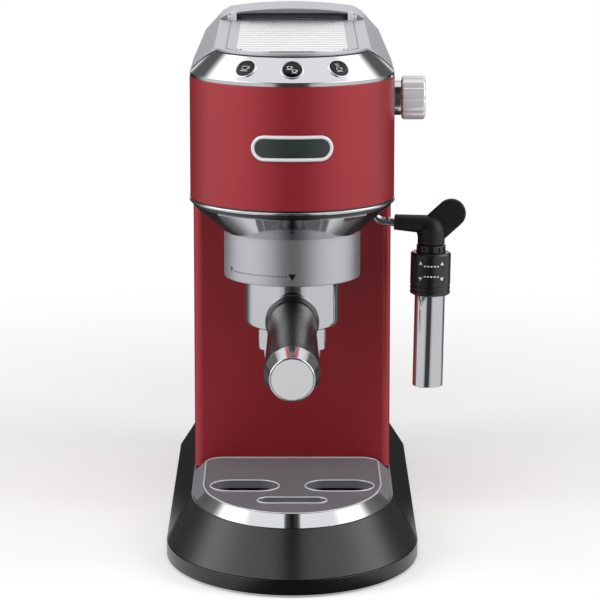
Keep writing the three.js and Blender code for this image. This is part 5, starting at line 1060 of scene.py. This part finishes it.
def cup_lines(x, y, size):
    """A cup from the side: bowl, handle and saucer."""
    rim = [(x - 1.1 * size, y + 0.8 * size), (x + 1.1 * size, y + 0.8 * size)]
    bowl = arc(x, y + 0.1 * size, 1.1 * size, 0.9 * size, 180, 360, 12)
    handle = arc(x + 1.15 * size, y + 0.25 * size, 0.5 * size, 0.45 * size, -80, 80, 8)
    saucer = [(x - 1.4 * size, y - 1.2 * size), (x + 1.4 * size, y - 1.2 * size)]
    return [rim[:1] + bowl + rim[1:] + rim[:1], handle, saucer]


icons = {
    "one_cup_button": cup_lines(-0.3, 0, 1.7),
    "two_cup_button": cup_lines(-1.6, 1.3, 1.1) + cup_lines(1.3, -1.2, 1.1),
    "steam_button": cup_lines(-0.3, -0.9, 1.3) + [
        [(x + 0.35 * math.sin(t * 1.3), 1.1 + t * 0.6) for t in range(5)] for x in (-0.9, 0.3)],
}
for name, axis in button_axes.items():
    button = turned(name + "_disc", [
        (0, -6, 0), (2, -6, 0.3), (2, -4.2, 0), (5.4, -4.2, 0.3), (5.4, 0.25, 0.5), (0, 0.5, 0)], axis, 64)
    hand_over(button, name, "gloss_black", name)
    lines = [stroke(name + "_icon", [axis @ (Vector((x, y, 0.46)) * MM) for x, y in line], 0.16)
             for line in icons[name]]
    hand_over(joined(*lines), name, "icon_ink")

# %% [markdown]
# A thin black line lies in the joint between the panel and the cover: painted shade for the
# shadow in that gap. It is a round line on the cone, along the flat top's round edge and down both
# cheeks.

# %% Painted shade line round the panel
def on_cone(x, y):
    """The place on the panel's cone above a point of the plan."""
    share = (panel_foot - math.hypot(x, y)) / (panel_foot - panel_head)
    return at(x, y, panel_foot_z + (panel_head_z - panel_foot_z) * share)


shade_line_reach = panel_head + 0.2
shade_line_end = math.degrees(math.acos((cheek_half - 0.1) / shade_line_reach))
shade_lines = [[on_cone(x, y) for x, y in arc(
    0, 0, shade_line_reach, shade_line_reach, 180 + shade_line_end, 360 - shade_line_end, 64)]]
cheek = [(cheek_half + i, cheek_y - 0.3 + cheek_rise * i) for i in range(60)]
for side in (-1, 1):
    shade_lines.append([on_cone(side * x, y) for x, y in cheek if math.hypot(x, y) < panel_foot - 0.3])
# A black line put where the gap is in shade: painted shade, given the black rubber finish.
shade_line = joined(*[stroke("panel_gap_shade_line", line, 0.4) for line in shade_lines])
hand_over(shade_line, "base", "black_rubber")

# %% [markdown]
# ## The top
#
# The cover is one moulding: a flat top between two sloping shoulders, with a thin lip round the
# front where the panel meets it. It is the body's outline cut by the roof line, hollowed by its
# wall, with openings for the tank and the warmer plate. Its edges are rounded a little more than
# the metal's.

# %% Top cover
shoulder_fall = 16 / 14.6
coarse = 0.05


def cover_block(name, inset, low):
    """The cover's full block, or the room inside it when moved in by its wall."""
    top, top_x = cover_top - inset, 46 - inset * 0.5
    side_z = top - shoulder_fall * (wide - top_x)
    block = prism(name, body_outline(inset), low, cover_top + 1)
    combined(block, "INTERSECT", prism("roof", [
        (-wide, 230), (wide, 230), (wide, side_z), (top_x, top), (-top_x, top), (-wide, side_z)],
        -90, body_rear + 30, "y"), join=coarse)
    panel_room = front_region("panel_room", inset)
    nose = rod("nose", 46.2 - inset, low - 4, cover_top + 4, steps=160)
    combined(panel_room, "DIFFERENCE", nose, join=coarse)
    return combined(block, "DIFFERENCE", panel_room, join=coarse)


tank_front = span("water_tank", "y")[0]
tank_half = span("water_tank", "x")[1]
cover = cover_block("top_cover_skin", 0, wrap_top - 1)
combined(cover, "DIFFERENCE", cover_block("cover_room", 2.2, wrap_top - 2), join=coarse)
combined(cover, "INTERSECT", prism("above_seam", [
    (-90, wrap_top + GAP), (taper_from, wrap_top + GAP), (beyond, seam(beyond) + GAP),
    (beyond, 320), (-90, 320)], -90, 90, "x"), join=coarse)
under_edge = rod("under_edge", 47.2, wrap_top - 1, cover_top - 5, steps=160)
combined(under_edge, "INTERSECT", prism("limits", box_outline(
    -cheek_half, cheek_half, -90, cheek_y), wrap_top - 2, cover_top))
tank_way = prism("tank_way", box_outline(
    -tank_half - 0.3, tank_half + 0.3, tank_front - 0.3, beyond), wrap_top - 2, cover_top + 2)
combined(cover, "DIFFERENCE", under_edge, tank_way, join=coarse)
warmer_half = span("warmer_plate", "x")[1]
warmer_front, warmer_rear = span("warmer_plate", "y")


def warmer_line(grow):
    """The warmer plate's outline: a round front edge between two straight sides."""
    half, radius, rear = warmer_half + grow, grow - warmer_front, warmer_rear + grow
    start = math.degrees(math.acos(half / radius))
    return arc(0, 0, radius, radius, 180 + start, 360 - start, 48) + [(half, rear), (-half, rear)]


combined(cover, "DIFFERENCE", prism("recess", warmer_line(0.3), cover_top - 0.8, cover_top + 2), join=coarse)
hand_over(softened(cover, 0.45), "base", "silver_paint", "top_cover")

# %% [markdown]
# Cups warm up on a steel plate with flat polished ribs pressed across it, one every 12 mm. Each
# rib is its own section pushed across, and the round front edge trims them all together.

# %% Warmer plate
plate_z = cover_top - 0.75
warmer = lofted("warmer_plate_skin", [
    level(warmer_line(0), plate_z), level(warmer_line(0), plate_z + 0.8),
    level(warmer_line(-0.3), plate_z + 1.1)])
hand_over(warmer, "base", "stamped_steel", "warmer_plate")
rib_half, rib_pitch, rib_width, rib_height = 32.3, 12, 10.8, 0.7
ribs = []
front = warmer_front + 3
foot_z = plate_z + 1.05
while front < warmer_rear - rib_pitch:
    back = front + rib_width
    ribs.append(prism("warmer_ribs", rounded([
        (front, foot_z, 0), (back, foot_z, 0), (back - 0.2, foot_z + rib_height, 0.4),
        (front + 0.2, foot_z + rib_height, 0.4)], 5), -rib_half, rib_half, "x"))
    front += rib_pitch
print("ribs:", len(ribs))
combined(joined(*ribs), "INTERSECT", prism("rib_field", warmer_line(-1.2), foot_z - 1, foot_z + 2))
hand_over(ribs[0], "base", "bright_steel")

# %% [markdown]
# A bar on two feet keeps cups from sliding into the lid, and a block stands at each of its
# ends with two small pin holes in front. The bar is a section pushed sideways. Its chrome is
# darkened as painted shade, for the dark surroundings it mirrors.

# %% Rail behind the plate
rail_high = span("rail_bar", "z")[1]
rail_y = middle("rail_bar", "y")
rail_half = span("rail_bar", "x")[1]
rail_foot, pin_in = 3, 1.1
rail = prism("rail_bar_skin", box_outline(
    rail_y - 1.5, rail_y + 1.5, cover_top + 1.4, rail_high, 0.9), -rail_half, rail_half, "x")
for low_x in (-rail_half, rail_half - rail_foot):
    foot = prism("rail_foot", box_outline(low_x, low_x + rail_foot, rail_y - 1.9, rail_y + 1.9),
                 cover_top + GAP, rail_high - 0.25)
    combined(rail, "UNION", softened(foot, 0.3, 2))
# The darkened chrome is painted shade.
hand_over(rail, "base", "dark_chrome", "rail_bar")
for name in ("rail_end_left", "rail_end_right"):
    (x0, x1), (y0, y1), (z0, z1) = (span(name, axis) for axis in "xyz")
    end = softened(prism(name + "_block", box_outline(x0, x1, y0, y1, 1.0), z0, z1), 0.4)
    outer = x0 + pin_in if x0 < 0 else x1 - pin_in
    for z in (z0 + pin_in, z1 - pin_in):
        combined(end, "DIFFERENCE", rod("pin_hole", 0.7, -1, 1, axis_at(outer, y0, z, 90), 24))
    hand_over(end, "base", "satin_steel", name)

# %% [markdown]
# ## The badge, left blank
#
# A curved oval plate on the head: a dark field inside a plated rim. The field is a slice of a
# ring cut out by the oval, and the rim is a round line bent round the head.

# %% Badge
badge_z, badge_half = middle("badge", "z"), span("badge", "x")[1]
badge_high = span("badge", "z")[1] - badge_z
back, face = head_radius + GAP, head_radius + 1.0
badge_field = turned("badge_field", [
    (back, badge_z - 10, 0), (face, badge_z - 10, 0), (face, badge_z + 10, 0), (back, badge_z + 10, 0)],
    steps=192)
combined(badge_field, "INTERSECT", prism("oval", stadium(
    badge_half - 0.7, badge_high - 0.7, 0, badge_z), -80, 0, "y"))
hand_over(badge_field, "base", "badge", "badge")
wire = 1.05
rim_high, rim_end, rim_radius = badge_high - wire, badge_half - badge_high, head_radius + 0.85
straight = range(-15, 16, 3)
rim_line = [(x, badge_z - rim_high) for x in straight]
rim_line += arc(rim_end, badge_z, rim_high, rim_high, -90, 90, 28)[1:-1]
rim_line += [(-x, badge_z + rim_high) for x in straight]
rim_line += arc(-rim_end, badge_z, rim_high, rim_high, 90, 270, 28)[1:-1]
rim = stroke("badge_rim", [at(x, -math.sqrt(rim_radius ** 2 - x ** 2), z) for x, z in rim_line], wire, True)
hand_over(rim, "base", "satin_steel")

# %% [markdown]
# ## The steam knob
#
# A plated knob with ten flutes round it. Its outline runs in and out once for each flute, and its edges
# close in over a few levels, as turned edges do. Its stem reaches into the steam valve.

# %% Knob and neck
knob_depth, knob_radius, flutes, flute_depth = 14, 13.15, 10, 0.9
knob_end = span("steam_knob", "x")[1]
knob_start = knob_end - knob_depth


def knob_line(x, inset):
    """The fluted outline, moved in, at a distance from the middle plane."""
    places = []
    for i in range(160):
        angle = 2 * math.pi * i / 160
        in_flute = 1 - math.sqrt(abs(math.sin(flutes / 2 * angle)))
        radius = knob_radius - inset - flute_depth * in_flute
        places.append(at(x, knob_y + radius * math.cos(angle), knob_z + radius * math.sin(angle)))
    return places


knob = lofted("steam_knob_grip", [knob_line(x, inset) for x, inset in (
    (knob_start, 1.4), (knob_start + 0.4, 0.5), (knob_start + 1.2, 0), (knob_end - 1.4, 0),
    (knob_end - 0.5, 0.45), (knob_end, 1.4), (knob_end, 2.2), (knob_end - 0.5, 2.7))])
stem = turned("stem", [(0, 44.2, 0), (3, 44.2, 0.3), (3, knob_start + 2, 0), (0, knob_start + 2, 0)],
              knob_axis, 48)
combined(knob, "UNION", stem)
hand_over(knob, "steam_knob", "knob_chrome", "steam_knob")
neck = turned("knob_neck_skin", [
    (3.3, head_radius + GAP, 0), (10.5, head_radius + GAP, 0.2), (10.5, knob_start - 0.3, 0.5),
    (3.3, knob_start - 0.3, 0)], knob_axis, 64)
hand_over(neck, "base", "chrome", "knob_neck")

# %% [markdown]
# ## The steam wand
#
# A plated tube comes down out of its socket, bends outwards and ends in a moulded elbow with a
# thumb tab. The frother hangs from the elbow and leans by one degree: a notched core, a collar
# that slides on it, a plated sleeve, and the steam nozzle a little off its middle.

# %% Socket and tube
socket_low = span("wand_socket", "z")[0]
socket = turned("wand_socket_skin", [
    (3, socket_low, 0.2), (8, socket_low, 1.2), (8, head_low, 0), (9.9, head_low, 0),
    (9.9, head_low + flange, 0.3), (3, head_low + flange, 0)], wand_axis, 64)
hand_over(socket, "base", "chrome", "wand_socket")
bend_drop, elbow_reach = 19.75, 23.4
bend_z = head_low - bend_drop
elbow_x, elbow_z = head_radius + elbow_reach, bend_z - 6
arm_start = Vector((pivot_x + 8, bend_z))
arm_end = Vector((elbow_x, bend_z - 2))
arm_run = (arm_end - arm_start).normalized()
tube_end = arm_end - arm_run * 8.2 * 0.6
bend = [((1 - t) ** 2 * pivot_x + 2 * t * (1 - t) * pivot_x + t * t * arm_start.x,
         (1 - t) ** 2 * (bend_z + 8) + 2 * t * (1 - t) * bend_z + t * t * bend_z)
        for t in [i / 16 for i in range(17)]]
route = [(pivot_x, head_low)] + bend + [tuple(tube_end)]
tube = stroke("wand_tube_skin", [at(x, pivot_y, z) for x, z in route], 2.7)
hand_over(tube, "wand", "chrome", "wand_tube", smooth=60)

# %% [markdown]
# The elbow is soft rubber round the tube's end: a tapering boot, a domed body and a flat tab with
# round ends that leans outwards, all fused into one moulding with rounded edges.

# %% Elbow, boot and tab
boot_start = arm_start + arm_run * (head_radius + 1 - arm_start.x) / arm_run.x
boot_axis = (axis_at(boot_start.x, pivot_y, boot_start.y)
             @ Vector((arm_run.x, 0, arm_run.y)).to_track_quat("Z", "Y").to_matrix().to_4x4())
boot_length = (arm_end - boot_start).length
elbow = turned("wand_elbow_skin", [
    (0, 0, 0), (4.7, 0, 0.8), (5.8, boot_length, 0), (0, boot_length, 0)], boot_axis, 64)
elbow_low, elbow_radius, elbow_dome = elbow_z - 8, 8.2, 9.4
crown = [(x, z, 0) for x, z in arc(0, elbow_z, elbow_radius, elbow_dome, 0, 90, 16)[:-1]]
combined(elbow, "UNION", turned("elbow_body", [
    (0, elbow_low + 0.3, 0), (elbow_radius, elbow_low + 0.3, 0.6), *crown, (0, elbow_z + elbow_dome, 0)],
    axis_at(elbow_x, pivot_y), 64))
tab_run, tab_half = Vector((12, 11)), 8.8
tab_line = stadium(tab_run.length / 2 + tab_half, tab_half, 0, 0, 32)
across, up = tab_run.normalized()
tab_x, tab_z = Vector((elbow_x, elbow_z)) + tab_run / 2
tab = prism("tab", [(tab_x + u * across - v * up, tab_z + u * up + v * across) for u, v in tab_line],
            pivot_y - 2.5, pivot_y + 2.5, "y")
combined(elbow, "UNION", softened(tab, 1.2, 4))
combined(elbow, "DIFFERENCE", rod("tube_room", 3, -20, boot_length - 4.62, boot_axis))
sliced(elbow, at(0, 0, elbow_low + 0.3), (0, 0, -1))
softened(elbow, 0.6, 3, 35)
hand_over(elbow, "wand", "black_rubber", "wand_elbow")

# %% Frother core and collar
frother_axis = axis_at(elbow_x, pivot_y, elbow_low, 1, "Y")
collar_top, collar_low = -4.5, -30.3
core = turned("frother_core_skin", [
    (0, collar_low + 1, 0), (6.5, collar_low + 1, 0), (6.5, collar_top, 0), (8.8, collar_top, 0.3),
    (8.8, 0, 0.3), (0, 0, 0)], frother_axis)
for i in range(12):
    around = frother_axis @ Matrix.Rotation(math.radians(30 * i), 4, "Z")
    notch = lofted("notch", [[around @ (Vector((x, y, z)) * MM) for x, y in box_outline(8, 10, -0.8, 0.8)]
                             for z in (collar_top + 1.2, -0.8)])
    combined(core, "DIFFERENCE", notch)
hand_over(core, "wand", "black_plastic", "frother_core")
collar_radius, groove = 12.15, 11.7
grooves = [(radius, collar_low + up + rise, 0.2) for up in (0, 2.6)
           for radius, rise in ((collar_radius, 2.2), (groove, 2.5), (groove, 3.1), (collar_radius, 3.4))]
collar = turned("frother_collar_skin", [
    (6.8, collar_low, 0), (11.3, collar_low, 0.3), (collar_radius, collar_low + 0.8, 0.3), *grooves,
    (collar_radius, collar_top - 1, 0.5), (11.2, collar_top, 0.4), (9.1, collar_top, 0.2),
    (9.1, collar_low + 6, 0), (6.8, collar_low + 6, 0)], frother_axis)
hand_over(collar, "frother", "black_plastic", "frother_collar")


# %% [markdown]
# The collar is printed with two rows of dashes, each between a pair of triangles that point the
# way it slides: up for one kind of milk and down for the other.

# %% Marks on the collar
def on_collar(x, z, out):
    """A place on the collar's front, with x to the right and z along the frother."""
    turn = x / collar_radius
    radius = collar_radius + out
    return frother_axis @ (Vector((radius * math.sin(turn), -radius * math.cos(turn), z)) * MM)


shapes = [[(x - 1.3, foot_z), (x + 1.3, foot_z), (x, tip_z)]
          for x in (-6.8, 6.8) for foot_z, tip_z in ((-10.9, -8.9), (-18.6, -20.6))]
shapes += [box_outline(x - 0.6, x + 0.6, z - 0.35, z + 0.35) for z in (-11.6, -17.9) for x in range(-4, 5, 2)]
marks = [lofted("collar_marks", [[on_collar(*point, out) for point in shape] for out in (0.02, 0.08)])
         for shape in shapes]
hand_over(joined(*marks), "frother", "icon_ink")

# %% Frother sleeve and nozzle
foot_z = (span("frother_sleeve", "z")[0] - elbow_low) + 0.15
sleeve_top = collar_low - 0.3
frother_sleeve = turned("frother_sleeve_skin", [
    (8.35, foot_z, 0.2), (9.15, foot_z, 0.3), (9.15, sleeve_top, 0.3), (6.5, sleeve_top, 0),
    (6.5, sleeve_top - 1, 0), (8.35, sleeve_top - 1, 0)], frother_axis)
hand_over(frother_sleeve, "frother", "chrome", "frother_sleeve")
nozzle = turned("steam_nozzle_skin", [
    (0, foot_z - 1.6, 0), (1.0, foot_z - 1.6, 0.1), (1.3, foot_z - 1.2, 0), (2.5, foot_z - 1.6, 0.5),
    (2.5, collar_low + 0.7, 0), (0, collar_low + 0.7, 0)],
    frother_axis @ Matrix.Translation((-3 * MM, 0, 0)), 48)
hand_over(nozzle, "wand", "brushed_steel", "steam_nozzle")

# %% [markdown]
# ## The water tank's lid
#
# A shallow dome across the rear of the top, with a rim that drops into the tank and two hinge
# barrels at the back. The dome is its front view pushed back, with its edges rounded.

# %% Tank lid
lid_z = cover_top + GAP
lid_out = tank_half + 2
lid_side, lid_peak, lid_half = cover_top + 4, cover_top + 10, 40
crown = [(lid_half * (1 - 2 * t), (1 - t) ** 2 * lid_side + 2 * t * (1 - t) * lid_peak + t * t * lid_side)
         for t in [i / 32 for i in range(33)]]
lid = softened(prism("tank_lid_skin", [
    (-lid_out, lid_z), (lid_out, lid_z), (lid_out, lid_z + 0.5), *crown, (-lid_out, lid_z + 0.5)],
    tank_front + GAP, body_rear, "y"), 0.25, 2)


def tank_box(name, inset, radius, low, high):
    """The tank's rounded plan moved in by an inset."""
    return prism(name, box_outline(-tank_half + inset, tank_half - inset, tank_front + inset,
                                   body_rear - inset, radius, 10), low, high)


combined(lid, "UNION", tank_box("lid_rim", 2.3, 5, cover_top - 2.5, lid_z + 0.6))
combined(lid, "DIFFERENCE", tank_box("lid_room", 4.7, 4, cover_top - 3.5, cover_top + 1.5))
barrel_axis = axis_at(0, body_rear, lid_z, 90, "Y")
for side in (-26, 26):
    low, high = side - 4, side + 4
    for start, end in ((low - 4.6, low), (high, high + 4.6)):
        combined(lid, "DIFFERENCE", rod("barrel_room", 1.55, start, end, barrel_axis, 32))
    combined(lid, "UNION", turned("barrel", [
        (0, low, 0), (1.25, low, 0.2), (1.25, high, 0.2), (0, high, 0)], barrel_axis, 32))
hand_over(lid, "tank_lid", "silver_paint", "tank_lid")
